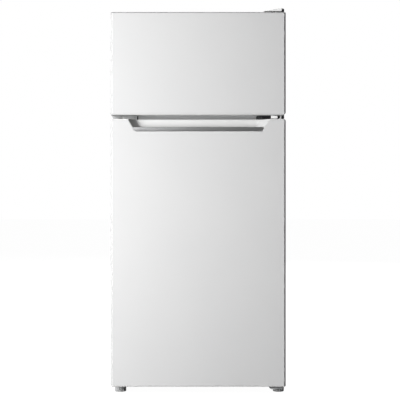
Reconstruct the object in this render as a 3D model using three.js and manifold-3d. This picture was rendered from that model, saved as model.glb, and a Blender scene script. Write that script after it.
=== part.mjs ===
// Two-door refrigerator with the freezer on top.
// Units: millimetres. Frame: origin on the floor under the centre of the body,
// +X to the right of a person facing the doors, doors on the -Y side, +Z up.
import * as THREE from "three";
import { mergeVertices } from "three/addons/utils/BufferGeometryUtils.js";
import { ConvexGeometry } from "three/addons/geometries/ConvexGeometry.js";
import Module from "manifold-3d";

const wasm = await Module();
wasm.setup();

// ---------------------------------------------------------------- dimensions
const WIDTH = 495;              // across the doors
const HEIGHT = 1100;            // floor to the top of the hinge cover
const DEPTH = 530;              // door faces to rear panel
const CLEAR = 0.3;              // gap kept between pieces that touch
const SHEET = 1.2;              // cabinet sheet steel
const SKIN = 1.0;               // door sheet steel
const VAC = 1.5;                // vacuum-formed liner

// cabinet
const FRONT = -DEPTH / 2;       // door faces
const BACK = DEPTH / 2;         // rear panel's outer face
const CAB_FRONT = -207;         // face that the gaskets seal on
const CAB_HALF = 246.5;         // half width of the outer case
const CAB_BASE = 24;            // underside
const CAB_TOP = 1081.5;         // top panel
const FRAME_LIP = 27.5;         // front frame, from the case's outer edge inwards
const CASE_BACK = BACK - 1.5;   // rear end of the case
const FOAM_FRONT = CAB_FRONT + 2.1;

// doors: local frame has x from the centre, y from the face backwards, z from the lower edge
const DOOR_DEPTH = 46;
const DOOR_R = 6;               // rounded vertical edges
const CAP = 3;                  // end cap lip seen above and below the skin
const FRIDGE_DOOR_Z = 24;
const FRIDGE_DOOR_H = 756.5;
const DOOR_GAP = 11;
const FREEZER_DOOR_Z = FRIDGE_DOOR_Z + FRIDGE_DOOR_H + DOOR_GAP;   // 791.5
const FREEZER_DOOR_H = 292;
const HINGE_X = 233;            // both doors turn about this line
const HINGE_Y = FRONT + 22;
const GASKET_OUT = 236;         // gasket's outer half width
const GASKET_WIDE = 16;

// handle pocket in the fridge door's top edge
const POCKET_TOP_HALF = 201.5;
const POCKET_BOTTOM_HALF = 181;
const POCKET_TALL = 35;
const POCKET_DEEP = 31;
const POCKET_TAPER = 22;        // its ends close in by this much towards the back
const GRIP_HALF = 168;          // finger recess under the freezer door
const TRIM_TALL = 13;

// mullion between the compartments
const MULLION_LOW = 751;
const MULLION_HIGH = 821;

// compartments (inside faces)
const FREEZER_HALF = 200;
const FREEZER_FLOOR = 828;
const FREEZER_CEILING = 1034;
const FREEZER_BACK = 205;
const FRIDGE_HALF = 203;
const FRIDGE_FLOOR = 66;
const FRIDGE_CEILING = 744;
const FRIDGE_BACK = 218;
const STEP_TOP = 252;           // floor over the compressor bay
const STEP_Y = 92;

// compressor bay
const BAY_FRONT = 134;
const BAY_CEILING = 214;

// feet and rollers
const FOOT_R = 16;
const FOOT_X = 224;               // left foot
const HINGE_FOOT_X = 231;         // right foot, through the hinge bracket
const FOOT_Y = -190;
const ROLLER_R = 12;
const ROLLER_X = 215;
const ROLLER_Y = 215;

// shelves
const SHELF_LOW_Z = 420;
const SHELF_HIGH_Z = 580;
const SHELF_FRONT = -115;
const FREEZER_SHELF_Z = 930;
const COVER_Z = STEP_TOP + CLEAR;
const CRISPER_FRONT = -82;

// ---------------------------------------------------------------- materials
const finish = (color, roughness, metalness = 0) =>
  new THREE.MeshStandardMaterial({ color, roughness, metalness });
const WHITE_STEEL = finish(0xf1f1f0, 0.28);
const CASE_STEEL = finish(0xe9eae9, 0.38);
const WHITE_PLASTIC = finish(0xeeeeec, 0.35);
const LINER = finish(0xf3f4f3, 0.32);
const GASKET = finish(0xdedfdd, 0.65);
const FOAM = finish(0xe6d79b, 0.9);
const LIP_METAL = finish(0xb9babb, 0.25, 0.9);
const ZINC = finish(0x9b9d9e, 0.4, 0.9);
const GALVANISED = finish(0xb4b7b8, 0.5, 0.7);
const BLACK_PLASTIC = finish(0x17181a, 0.55);
const BLACK_PAINT = finish(0x1d1e20, 0.4);
const COPPER = finish(0xb8734a, 0.35, 0.9);
const ALUMINIUM = finish(0xc3c6c8, 0.4, 0.9);
const GLASS = finish(0xd7e6e4, 0.08);
const CLEAR_PLASTIC = finish(0xe3ecee, 0.15);
const WIRE = finish(0xeff0ef, 0.4);
const LENS = finish(0xf4f3ea, 0.25);
const GREY_PLASTIC = finish(0x9fa2a4, 0.5);

// ---------------------------------------------------------------- solids
function solid(geometry) {
  const bare = geometry.clone();
  bare.deleteAttribute("normal");
  bare.deleteAttribute("uv");
  const welded = mergeVertices(bare, 1e-4);
  const index = [];
  const src = welded.index.array;
  for (let i = 0; i < src.length; i += 3) {
    const [a, b, c] = [src[i], src[i + 1], src[i + 2]];
    if (a !== b && b !== c && a !== c) index.push(a, b, c);
  }
  return new wasm.Manifold(new wasm.Mesh({
    numProp: 3,
    vertProperties: new Float32Array(welded.attributes.position.array),
    triVerts: new Uint32Array(index),
  }));
}

function geometryOf(body) {
  const mesh = body.getMesh();
  const geometry = new THREE.BufferGeometry();
  geometry.setAttribute("position", new THREE.BufferAttribute(new Float32Array(mesh.vertProperties), 3));
  geometry.setIndex(new THREE.BufferAttribute(new Uint32Array(mesh.triVerts), 1));
  geometry.computeVertexNormals();
  return geometry;
}

const cut = (body, ...tools) => tools.reduce((a, b) => a.subtract(b), body);
const join = (body, ...more) => more.reduce((a, b) => a.add(b), body);
const outline = (points) => new THREE.Shape(points.map(([a, b]) => new THREE.Vector2(a, b)));

const block = (x0, x1, y0, y1, z0, z1) => solid(
  new THREE.BoxGeometry(x1 - x0, y1 - y0, z1 - z0)
    .translate((x0 + x1) / 2, (y0 + y1) / 2, (z0 + z1) / 2));

// outline in x and y, raised from z0 to z1
const prismZ = (points, z0, z1) => solid(
  new THREE.ExtrudeGeometry(outline(points), { depth: z1 - z0, bevelEnabled: false, steps: 1 })
    .translate(0, 0, z0));

// outline in x and z, from y0 to y1
const prismY = (points, y0, y1) => solid(
  new THREE.ExtrudeGeometry(outline(points), { depth: y1 - y0, bevelEnabled: false, steps: 1 })
    .rotateX(Math.PI / 2).translate(0, y1, 0));

// outline in y and z, from x0 to x1
const TO_X = new THREE.Matrix4().makeBasis(
  new THREE.Vector3(0, 1, 0), new THREE.Vector3(0, 0, 1), new THREE.Vector3(1, 0, 0));
const prismX = (points, x0, x1) => solid(
  new THREE.ExtrudeGeometry(outline(points), { depth: x1 - x0, bevelEnabled: false, steps: 1 })
    .applyMatrix4(TO_X).translate(x0, 0, 0));

// round bar along z
const rodZ = (x, y, z0, z1, r, sides = 16) => solid(
  new THREE.CylinderGeometry(r, r, z1 - z0, sides).rotateX(Math.PI / 2)
    .translate(x, y, (z0 + z1) / 2));
const rodX = (x0, x1, y, z, r, sides = 16) => solid(
  new THREE.CylinderGeometry(r, r, x1 - x0, sides).rotateZ(Math.PI / 2)
    .translate((x0 + x1) / 2, y, z));
const rodY = (x, y0, y1, z, r, sides = 16) => solid(
  new THREE.CylinderGeometry(r, r, y1 - y0, sides).translate(x, (y0 + y1) / 2, z));

// turned piece: profile of [radius, z] from the axis back to the axis, upwards
const turned = (profile, sides = 20) => solid(
  new THREE.LatheGeometry(profile.map(([r, z]) => new THREE.Vector2(r, z)), sides)
    .rotateX(Math.PI / 2));

// points of a quarter circle or any arc, degrees
const arc = (cx, cy, r, a0, a1, n) => Array.from({ length: n + 1 }, (_, i) => {
  const a = THREE.MathUtils.degToRad(a0 + (a1 - a0) * i / n);
  return [cx + r * Math.cos(a), cy + r * Math.sin(a)];
});

// a line through points whose corners are rounded; each point is one step of a sweep
class PipeLine extends THREE.Curve {
  constructor(points) { super(); this.points = points; }
  getPoint(t) {
    const n = this.points.length - 1;
    const k = Math.min(Math.floor(t * n + 1e-9), n - 1);
    return this.points[k].clone().lerp(this.points[k + 1], t * n - k);
  }
  getPointAt(t) { return this.getPoint(t); }
  getTangent(t) {
    const n = this.points.length - 1;
    const k = Math.round(t * n);
    const along = new THREE.Vector3();
    if (k < n) along.add(this.points[k + 1].clone().sub(this.points[k]).normalize());
    if (k > 0) along.add(this.points[k].clone().sub(this.points[k - 1]).normalize());
    return along.normalize();
  }
  getTangentAt(t) { return this.getTangent(t); }
}

function pipe(corners, radius, bend, sides = 8, perCorner = 3) {
  const v = corners.map((c) => new THREE.Vector3(...c));
  const points = [v[0]];
  for (let i = 1; i < v.length - 1; i += 1) {
    const a = v[i - 1].clone().sub(v[i]);
    const b = v[i + 1].clone().sub(v[i]);
    const half = a.angleTo(b) / 2;
    const reach = Math.min(bend / Math.tan(half), a.length() * 0.499, b.length() * 0.499);
    const p0 = v[i].clone().addScaledVector(a.normalize(), reach);
    const p1 = v[i].clone().addScaledVector(b.normalize(), reach);
    for (let k = 0; k <= perCorner; k += 1) {
      const t = k / perCorner;
      points.push(p0.clone().multiplyScalar((1 - t) * (1 - t))
        .addScaledVector(v[i], 2 * t * (1 - t)).addScaledVector(p1, t * t));
    }
  }
  points.push(v[v.length - 1]);
  const section = outline(arc(0, 0, radius, 0, 360 - 360 / sides, sides - 1));
  return solid(new THREE.ExtrudeGeometry(section, {
    steps: points.length - 1, extrudePath: new PipeLine(points), bevelEnabled: false,
  }));
}

// ---------------------------------------------------------------- scene graph
const refrigerator = new THREE.Group();
refrigerator.name = "refrigerator";

const frameGroup = (parent, x, y, z) => {
  const group = new THREE.Group();
  group.position.set(x, y, z);
  parent.add(group);
  return group;
};

function place(group, name, body, material, x = 0, y = 0, z = 0) {
  const mesh = new THREE.Mesh(geometryOf(body), material);
  mesh.name = name;
  mesh.position.set(x, y, z);
  group.add(mesh);
  return mesh;
}

const cabinet = frameGroup(refrigerator, 0, 0, 0);

// ================================================================ cabinet shell
const IN = CAB_HALF - SHEET;                       // inner face of the case sides
{
  const R = 7;
  const outer = [[-CAB_HALF, CAB_BASE], [CAB_HALF, CAB_BASE],
    ...arc(CAB_HALF - R, CAB_TOP - R, R, 0, 90, 3), ...arc(-CAB_HALF + R, CAB_TOP - R, R, 90, 180, 3)];
  const r = R - SHEET;
  const inner = [[-IN, CAB_BASE - 5], [IN, CAB_BASE - 5],
    ...arc(CAB_HALF - R, CAB_TOP - R, r, 0, 90, 3), ...arc(-CAB_HALF + R, CAB_TOP - R, r, 90, 180, 3)];
  const wrap = cut(prismY(outer, CAB_FRONT, CASE_BACK), prismY(inner, CAB_FRONT + SHEET, CASE_BACK + 5));
  const opening = block(-(CAB_HALF - FRAME_LIP), CAB_HALF - FRAME_LIP, CAB_FRONT - 5, CAB_FRONT + 5,
    CAB_BASE + 28, CAB_TOP - FRAME_LIP);
  const screwHole = rodZ(227, -150, CAB_TOP - 5, CAB_TOP + 5, 2.8, 12);
  place(cabinet, "outer_case", cut(wrap, opening, screwHole), CASE_STEEL);
}

place(cabinet, "back_panel",
  block(-CAB_HALF, CAB_HALF, BACK - 1.2, BACK, BAY_CEILING - 1, CAB_TOP), GALVANISED);

// folded underside: floor, riser in front of the compressor, ceiling of the bay
const stemHoles = (r, z0, z1) => join(rodZ(-FOOT_X, FOOT_Y, z0, z1, r, 16), rodZ(HINGE_FOOT_X, FOOT_Y, z0, z1, r, 16));
place(cabinet, "base_panel", cut(prismX([
  [FOAM_FRONT, CAB_BASE], [BAY_FRONT + SHEET, CAB_BASE], [BAY_FRONT + SHEET, BAY_CEILING],
  [256.5, BAY_CEILING], [256.5, BAY_CEILING + SHEET], [BAY_FRONT, BAY_CEILING + SHEET],
  [BAY_FRONT, CAB_BASE + SHEET], [FOAM_FRONT, CAB_BASE + SHEET],
], -IN + CLEAR, IN - CLEAR), stemHoles(4.5, 20, 30), rodZ(215, -165, 20, 30, 2.8, 12)), GALVANISED);

place(cabinet, "mullion_rail", join(
  block(-(CAB_HALF - FRAME_LIP - CLEAR), CAB_HALF - FRAME_LIP - CLEAR, CAB_FRONT, CAB_FRONT + SHEET, MULLION_LOW, MULLION_HIGH),
  block(-210, 210, CAB_FRONT, CAB_FRONT + 12, MULLION_LOW, MULLION_LOW + SHEET),
  block(-210, 210, CAB_FRONT, CAB_FRONT + 12, MULLION_HIGH - SHEET, MULLION_HIGH),
), WHITE_STEEL);

// ---------------------------------------------------------------- liners
const LIP_X = CAB_HALF - FRAME_LIP - CLEAR;        // liner flange reaches this far
const freezerShell = (grow) => block(-FREEZER_HALF - grow, FREEZER_HALF + grow, CAB_FRONT - 3, FREEZER_BACK + grow,
  FREEZER_FLOOR - grow, FREEZER_CEILING + grow);
const fridgeShell = (grow) => prismX([
  [CAB_FRONT - 3, FRIDGE_FLOOR - grow], [STEP_Y + grow, FRIDGE_FLOOR - grow], [STEP_Y + grow, STEP_TOP - grow],
  [FRIDGE_BACK + grow, STEP_TOP - grow], [FRIDGE_BACK + grow, FRIDGE_CEILING + grow], [CAB_FRONT - 3, FRIDGE_CEILING + grow],
], -FRIDGE_HALF - grow, FRIDGE_HALF + grow);
const inFrontOf = (y) => block(-300, 300, y - 50, y, 0, 1200);

{
  const walls = cut(freezerShell(VAC), inFrontOf(CAB_FRONT + CLEAR));
  const flange = block(-LIP_X, LIP_X, CAB_FRONT + CLEAR, CAB_FRONT + 1.8, MULLION_HIGH + CLEAR, CAB_TOP - FRAME_LIP - CLEAR);
  const ledges = [-1, 1].map((s) => block(
    Math.min(s * (FREEZER_HALF + 0.5), s * (FREEZER_HALF - 6)), Math.max(s * (FREEZER_HALF + 0.5), s * (FREEZER_HALF - 6)),
    -140, 190, FREEZER_SHELF_Z - 7, FREEZER_SHELF_Z - CLEAR));
  place(cabinet, "freezer_liner", join(cut(join(walls, flange), freezerShell(0)), ...ledges), LINER);
}
{
  const walls = cut(fridgeShell(VAC), inFrontOf(CAB_FRONT + CLEAR));
  const flange = block(-LIP_X, LIP_X, CAB_FRONT + CLEAR, CAB_FRONT + 1.8, CAB_BASE + 28 + CLEAR, MULLION_LOW - CLEAR);
  const ledges = [];
  for (const z of [340, SHELF_LOW_Z, 500, SHELF_HIGH_Z, 660]) {
    for (const s of [-1, 1]) {
      ledges.push(block(
        Math.min(s * (FRIDGE_HALF + 0.5), s * (FRIDGE_HALF - 7)), Math.max(s * (FRIDGE_HALF + 0.5), s * (FRIDGE_HALF - 7)),
        -110, 200, z - 8, z - CLEAR));
    }
  }
  for (const s of [-1, 1]) {
    ledges.push(block(
      Math.min(s * (FRIDGE_HALF + 0.5), s * (FRIDGE_HALF - 7)), Math.max(s * (FRIDGE_HALF + 0.5), s * (FRIDGE_HALF - 7)),
      -106, STEP_Y + 0.5, STEP_TOP - 8, STEP_TOP));
  }
  place(cabinet, "fridge_liner", join(cut(join(walls, flange), fridgeShell(0)), ...ledges), LINER);
}

// ---------------------------------------------------------------- cold plates, condenser, foam
place(cabinet, "freezer_evaporator", prismX([
  [-150, 825], [208, 825], [208, 1037], [-150, 1037], [-150, 1035.8],
  [206.8, 1035.8], [206.8, 826.2], [-150, 826.2],
], -190, 190), ALUMINIUM);
place(cabinet, "fridge_evaporator", block(-150, 150, FRIDGE_BACK + 1.8, FRIDGE_BACK + 3, 520, 730), ALUMINIUM);

{
  const corners = [[212, 260.2, 205], [212, 260.2, 1030]];
  let side = 1;
  for (let z = 1030; z > 280; z -= 100) {
    corners.push([side > 0 && z < 1030 ? 180 : side > 0 ? 212 : -200, 260.2, z]);
    corners.push([side > 0 ? -200 : 180, 260.2, z]);
    side = -side;
  }
  corners.splice(2, 1);
  corners.push([-200, 260.2, 214], [-200, 248, 200], [-200, 248, 170]);
  place(cabinet, "condenser_tube", pipe(corners, 2.5, 24, 6, 3), COPPER);
}

{
  const half = IN - CLEAR;
  let body = block(-half, half, FOAM_FRONT, 263.2, CAB_BASE + SHEET + CLEAR, CAB_TOP - SHEET - CLEAR);
  body = cut(body,
    prismY([[half - 8, CAB_TOP], [half + 5, CAB_TOP - 13], [half + 5, CAB_TOP]], FOAM_FRONT - 5, BACK),
    prismY([[-half + 8, CAB_TOP], [-half - 5, CAB_TOP], [-half - 5, CAB_TOP - 13]], FOAM_FRONT - 5, BACK),
    block(-300, 300, BAY_FRONT - CLEAR, 300, 0, BAY_CEILING + SHEET + CLEAR),
    freezerShell(VAC + CLEAR), fridgeShell(VAC + CLEAR),
    block(-190.3, 190.3, -150.3, 208.3, 824.7, 1037.3),
    block(-150.3, 150.3, 200, FRIDGE_BACK + 3.3, 519.7, 730.3),
    block(-225, 225, 256.7, 300, 200, 1050),
    block(-210.5, 210.5, CAB_FRONT - 5, CAB_FRONT + 12.3, MULLION_LOW - CLEAR, MULLION_LOW + SHEET + CLEAR),
    block(-210.5, 210.5, CAB_FRONT - 5, CAB_FRONT + 12.3, MULLION_HIGH - SHEET - CLEAR, MULLION_HIGH + CLEAR),
    rodZ(227, -150, CAB_TOP - 24, CAB_TOP, 4, 8),
    stemHoles(6, 20, 43), rodZ(215, -165, 20, 36, 4, 8));
  place(cabinet, "cabinet_foam", body, FOAM);
}

// ================================================================ compressor bay
{
  let tray = prismX([
    [140, 24.5], [262, 24.5], [262, 38], [260.5, 38], [260.5, 26], [141.5, 26], [141.5, 38], [140, 38],
  ], -IN + 0.5, IN - 0.5);
  for (const s of [-1, 1]) {
    for (const o of [-9, 9]) {
      const x = s * ROLLER_X + o;
      tray = join(tray, block(x - 0.75, x + 0.75, ROLLER_Y - 9, ROLLER_Y + 9, 6, 25));
    }
  }
  for (const s of [-1, 1]) tray = cut(tray, rodX(s * ROLLER_X - 14, s * ROLLER_X + 14, ROLLER_Y, ROLLER_R, 3.3, 12));
  place(cabinet, "compressor_tray", tray, GALVANISED);
}
const COMP_X = 110;
const COMP_Y = 200;
{
  const shell = solid(new THREE.LatheGeometry([
    [0, 42], [40, 42], [53, 50], [56.5, 66], [56.5, 108], [58.5, 110], [58.5, 115], [55.5, 117],
    [54, 148], [45, 170], [26, 180], [0, 183]].map(([r, z]) => new THREE.Vector2(r, z)), 24)
    .rotateX(Math.PI / 2).scale(1.25, 1, 1));
  const feet = [[-84, -38], [84, -38], [-84, 38], [84, 38]].map(([x, y]) => rodZ(x, y, 26.3, 34.5, 8, 10));
  place(cabinet, "compressor", join(shell, block(-95, 95, -48, 48, 34.3, 37.3), block(-42, 42, -32, 32, 37, 46), ...feet),
    BLACK_PAINT, COMP_X, COMP_Y, 0);
}
place(cabinet, "terminal_cover", block(-15, 15, -24, 24, 0, 56), BLACK_PLASTIC, COMP_X - 72.6 - 15.8, COMP_Y, 78);
place(cabinet, "filter_drier", turned([[0, 85], [2.4, 85], [2.4, 94], [8, 101], [8, 152], [2.7, 160], [2.7, 169.7], [0, 169.7]], 12),
  COPPER, -200, 248, 0);
place(cabinet, "discharge_tube", pipe([[182.8, 200, 90], [212, 200, 90], [212, 260.2, 90], [212, 260.2, 204.7]], 2.5, 14, 8, 3), COPPER);
place(cabinet, "suction_tube", pipe([[38.6, 200, 62], [-20, 200, 62], [-20, 240, 62], [-20, 240, 213.7]], 3.5, 14, 8, 3), COPPER);
place(cabinet, "drip_tray", cut(block(-80, 80, -50, 50, 0, 20), block(-78, 78, -48, 48, 2, 25)), GREY_PLASTIC, COMP_X, COMP_Y, 183.3);
place(cabinet, "power_inlet", cut(
  join(block(-20, 20, -20, 20, 0, 36), rodY(0, 19, 49.5, 24, 9, 16)),
  rodY(0, 30, 60, 24, 4.2, 12)), BLACK_PLASTIC, -130, 215, 26.3);

// ================================================================ feet and rollers
const footBody = (top) => turned([[0, 0], [FOOT_R - 1, 0], [FOOT_R, 1], [FOOT_R, top - 2], [FOOT_R - 2, top],
  [4, top], [4, 39], [3, 40], [0, 40]], 24);
place(cabinet, "front_left_foot", footBody(17), GREY_PLASTIC, -FOOT_X, FOOT_Y, 0);
place(cabinet, "front_right_foot", footBody(14), GREY_PLASTIC, HINGE_FOOT_X, FOOT_Y, 0);
const roller = () => join(rodX(-7, 7, 0, ROLLER_R, ROLLER_R, 24), rodX(-11.5, 11.5, 0, ROLLER_R, 3, 12));
place(cabinet, "rear_left_roller", roller(), BLACK_PLASTIC, -ROLLER_X, ROLLER_Y, 0);
place(cabinet, "rear_right_roller", roller(), BLACK_PLASTIC, ROLLER_X, ROLLER_Y, 0);

// ================================================================ hinges
{
  const plate = prismX([[-250.5, 1085], [-206, 1085], [-200, 1081.8], [-110, 1081.8], [-110, 1084.8], [-199.3, 1084.8],
    [-205.3, 1088], [-250.5, 1088]], 214, 239.6);
  place(cabinet, "top_hinge_bracket", cut(plate, rodZ(HINGE_X, HINGE_Y, 1080, 1092, 4.3, 16), rodZ(227, -150, 1078, 1090, 2.8, 12)), ZINC);
}
place(cabinet, "top_hinge_pin", turned([[0, 1071], [3.3, 1071], [4, 1072], [4, 1088.3], [6, 1088.3], [6, 1090.3], [0, 1090.3]], 16),
  ZINC, HINGE_X, HINGE_Y, 0);
place(cabinet, "top_hinge_screw", turned([[0, 1064], [2.4, 1066], [2.4, 1085.1], [5.5, 1085.1], [5.5, 1087], [4, 1088.4], [0, 1088.4]], 12),
  ZINC, 227, -150, 0);
{
  // domed lid that rises to the right and from its front; over the cabinet it comes down to the top panel
  const lid = cut(
    prismY([[184, 1084.8], [242, 1084.8], [242, 1096], ...arc(238, 1096, 4, 0, 90, 2).slice(1), [228, HEIGHT], [206, 1093.5], [192, 1088]], -253, -95),
    prismX([[-254, 1094.3], [-215, HEIGHT], [-215, 1110], [-254, 1110]], 170, 250));
  const skirt = block(184, 242, -203, -95, 1081.8, 1086);
  const hollow = cut(
    prismY([[188, 1075], [240, 1075], [240, 1097.4], [228.6, 1097.6], [207, 1091.4], [194, 1086.6], [188, 1084.9]], -251, -97),
    prismX([[-252, 1092.4], [-213, 1097.8], [-213, 1110], [-252, 1110]], 170, 250));
  place(cabinet, "top_hinge_cover", cut(join(lid, skirt), hollow), WHITE_PLASTIC);
}
{
  // flange screwed to the mullion rail, arm carrying the pin in the gap between the doors
  const flange = block(172, 226, -210.4, -207.4, 777, 795);
  const arm = prismZ([[210, -208], [210, -240.8], [222, -249], ...arc(HINGE_X, HINGE_Y, 6, 240, 420, 6), [226, -232], [226, -208]], 784.2, 787.8);
  place(cabinet, "middle_hinge_bracket", cut(join(flange, arm), rodZ(HINGE_X, HINGE_Y, 780, 792, 3.3, 16)), ZINC);
}
place(cabinet, "middle_hinge_pin", turned([[0, 771], [2.6, 771], [3, 772], [3, 800], [2.6, 801], [0, 801]], 16), ZINC, HINGE_X, HINGE_Y, 0);
place(cabinet, "middle_hinge_cover", cut(block(207.6, 226.2, -254, -211, 782.4, 790.8),
  prismZ([[209.7, -200], [209.7, -241.0], [221.9, -249.4], [230, -249.4], [230, -200]], 783.9, 788.1)), WHITE_PLASTIC);
place(cabinet, "middle_hinge_block", block(166.2, 207.2, -246, -211, 782.2, 790.6), BLACK_PLASTIC);
{
  const plate = prismX([[-255, 17.5], [-150, 17.5], [-150, 23.7], [-203, 23.7], [-203, 20.5], [-255, 20.5]], 202, 243);
  const lug = block(204.6, 219.4, -255, -252, 13.6, 19);
  place(cabinet, "bottom_hinge_bracket", cut(join(plate, lug), rodZ(HINGE_X, HINGE_Y, 10, 30, 4.3, 16), rodZ(215, -165, 10, 30, 2.8, 12),
    rodZ(HINGE_FOOT_X, FOOT_Y, 10, 30, 4.5, 16)), ZINC);
}
place(cabinet, "bottom_hinge_pin", turned([[0, 15], [6, 15], [6, 17.2], [4, 17.2], [4, 38], [3.3, 39], [0, 39]], 16), ZINC, HINGE_X, HINGE_Y, 0);
place(cabinet, "bottom_hinge_screw", turned([[0, 14], [4, 14.2], [5.5, 15.4], [5.5, 17.2], [2.4, 17.2], [2.4, 32], [0, 34]], 12), ZINC, 215, -165, 0);

// ================================================================ doors
const HALF = WIDTH / 2;
const LINER_Y = DOOR_DEPTH + CLEAR;                // door liner's front face
const LINER_END = LINER_Y + VAC;
const GASKET_Y = LINER_END + CLEAR;
const GASKET_END = CAB_FRONT - FRONT - 0.5;

const doorOutline = (depth) => [[-HALF, depth], ...arc(-HALF + DOOR_R, DOOR_R, DOOR_R, 180, 270, 3),
  ...arc(HALF - DOOR_R, DOOR_R, DOOR_R, 270, 360, 3), [HALF, depth]];

function doorSkin(height) {
  const back = 10;
  const r = DOOR_R - SKIN;
  return prismZ([[-HALF + back, DOOR_DEPTH], [-HALF, DOOR_DEPTH], ...arc(-HALF + DOOR_R, DOOR_R, DOOR_R, 180, 270, 3),
    ...arc(HALF - DOOR_R, DOOR_R, DOOR_R, 270, 360, 3), [HALF, DOOR_DEPTH], [HALF - back, DOOR_DEPTH],
    [HALF - back, DOOR_DEPTH - SKIN], [HALF - SKIN, DOOR_DEPTH - SKIN],
    ...arc(HALF - DOOR_R, DOOR_R, r, 360, 270, 3), ...arc(-HALF + DOOR_R, DOOR_R, r, 270, 180, 3),
    [-HALF + SKIN, DOOR_DEPTH - SKIN], [-HALF + back, DOOR_DEPTH - SKIN]], CAP + CLEAR, height - CAP - CLEAR);
}

// end cap: a plate with a rim that tucks inside the skin, rim above the plate
function endCap() {
  const o = HALF - SKIN - 0.4;
  const c = 4;
  const ring = (x, y0, y1, k) => [[-x, y1], [-x, y0 + k], [-x + k, y0], [x - k, y0], [x, y0 + k], [x, y1]];
  return join(prismZ(doorOutline(LINER_END), 0, CAP),
    cut(prismZ(ring(o, SKIN + 0.4, DOOR_DEPTH - SKIN - 0.4, c), CAP - 1, CAP + 8),
      prismZ(ring(o - 2, SKIN + 2.4, DOOR_DEPTH - SKIN - 2.4, c - 1), CAP, CAP + 12)));
}
const turnedOver = (body, height) => body.mirror([0, 0, 1]).translate([0, 0, height]);

function doorFoam(height) {
  const a = HALF - SKIN - CLEAR;
  const c = a - 2.6;
  const main = prismZ([[-a, DOOR_DEPTH - SKIN - CLEAR], [-a, SKIN + CLEAR + 4.7], [-a + 4.7, SKIN + CLEAR],
    [a - 4.7, SKIN + CLEAR], [a, SKIN + CLEAR + 4.7], [a, DOOR_DEPTH - SKIN - CLEAR]], CAP + 8.3, height - CAP - 8.3);
  return join(main,
    block(-HALF + 10.3, HALF - 10.3, DOOR_DEPTH - 3, DOOR_DEPTH, CAP + 8.3, height - CAP - 8.3),
    prismZ([[-c, DOOR_DEPTH - SKIN - 2.7], [-c, SKIN + 6.7], [-c + 3, SKIN + 3.7], [c - 3, SKIN + 3.7], [c, SKIN + 6.7],
      [c, DOOR_DEPTH - SKIN - 2.7]], CAP + CLEAR, height - CAP - CLEAR));
}

// inner panel with a raised ring that reaches into the compartment; posts hold the bins
function doorLiner(height, post, low, high, reach, lowReach) {
  const ringOf = (g, back) => join(
    ...[-1, 1].map((s) => block(Math.min(s * (post + g), s * (post - 23 - g)), Math.max(s * (post + g), s * (post - 23 - g)),
      back, LINER_END + reach + g, low - g, high + g)),
    ...[[low, low + 20], [high - 20, high]].map(([z0, z1]) => block(-post + 4, post - 4, back, LINER_END + lowReach + g, z0 - g, z1 + g)));
  const panel = block(-HALF + 1, HALF - 1, LINER_Y, LINER_END, CAP + CLEAR, height - CAP - CLEAR);
  return {
    shell: cut(join(panel, ringOf(0, LINER_Y + 0.5)), ringOf(-VAC, LINER_Y - 5)),
    fill: ringOf(-VAC - CLEAR, LINER_Y - 4),
  };
}

function gasket(height) {
  const z = HALF - GASKET_OUT;
  return cut(block(-GASKET_OUT, GASKET_OUT, GASKET_Y, GASKET_END, z, height - z),
    block(-GASKET_OUT + GASKET_WIDE, GASKET_OUT - GASKET_WIDE, GASKET_Y - 5, GASKET_END + 5, z + GASKET_WIDE, height - z - GASKET_WIDE));
}

// open bin between the posts; y grows into the compartment
const bin = (half, deep, tall) => cut(
  prismX([[0, 0], [deep - 8, 0], [deep, 8], [deep, tall], [0, tall]], -half, half),
  prismX([[2, 2], [deep - 9, 2], [deep - 2, 9], [deep - 2, tall + 5], [2, tall + 5]], -half + 2, half - 2));
const pinHole = (z0, z1, r) => rodZ(HINGE_X, HINGE_Y - FRONT, z0, z1, r, 16);

// ---------------------------------------------------------------- freezer door
const freezerDoor = frameGroup(frameGroup(refrigerator, HINGE_X, HINGE_Y, FREEZER_DOOR_Z), -HINGE_X, FRONT - HINGE_Y, 0);
{
  const H = FREEZER_DOOR_H;
  const { shell, fill } = doorLiner(H, 192, 42, 237, 44, 18);
  const grip = block(-GRIP_HALF, GRIP_HALF, 9, 29, -5, 12);
  const gripShell = block(-GRIP_HALF - 2, GRIP_HALF + 2, 7, 31, 0.5, 14);
  const gripRoom = block(-GRIP_HALF - 2.4, GRIP_HALF + 2.4, 6.6, 31.4, -5, 14.4);
  place(freezerDoor, "freezer_door_skin", doorSkin(H), WHITE_STEEL);
  place(freezerDoor, "freezer_door_top_cap", cut(turnedOver(endCap(), H), pinHole(H - 20, H + 5, 4.6)), WHITE_PLASTIC);
  place(freezerDoor, "freezer_door_bottom_cap", cut(join(endCap(), gripShell), grip, pinHole(-5, 20, 3.6)), WHITE_PLASTIC);
  place(freezerDoor, "freezer_door_foam", cut(join(doorFoam(H), fill), gripRoom, pinHole(-5, 14, 5), pinHole(H - 24, H + 5, 6)), FOAM);
  place(freezerDoor, "freezer_door_liner", shell, LINER);
  place(freezerDoor, "freezer_door_gasket", gasket(H), GASKET);
  place(freezerDoor, "freezer_door_shelf", bin(168, 52, 50), CLEAR_PLASTIC, 0, LINER_END + CLEAR + 2, 72);
}

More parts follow.
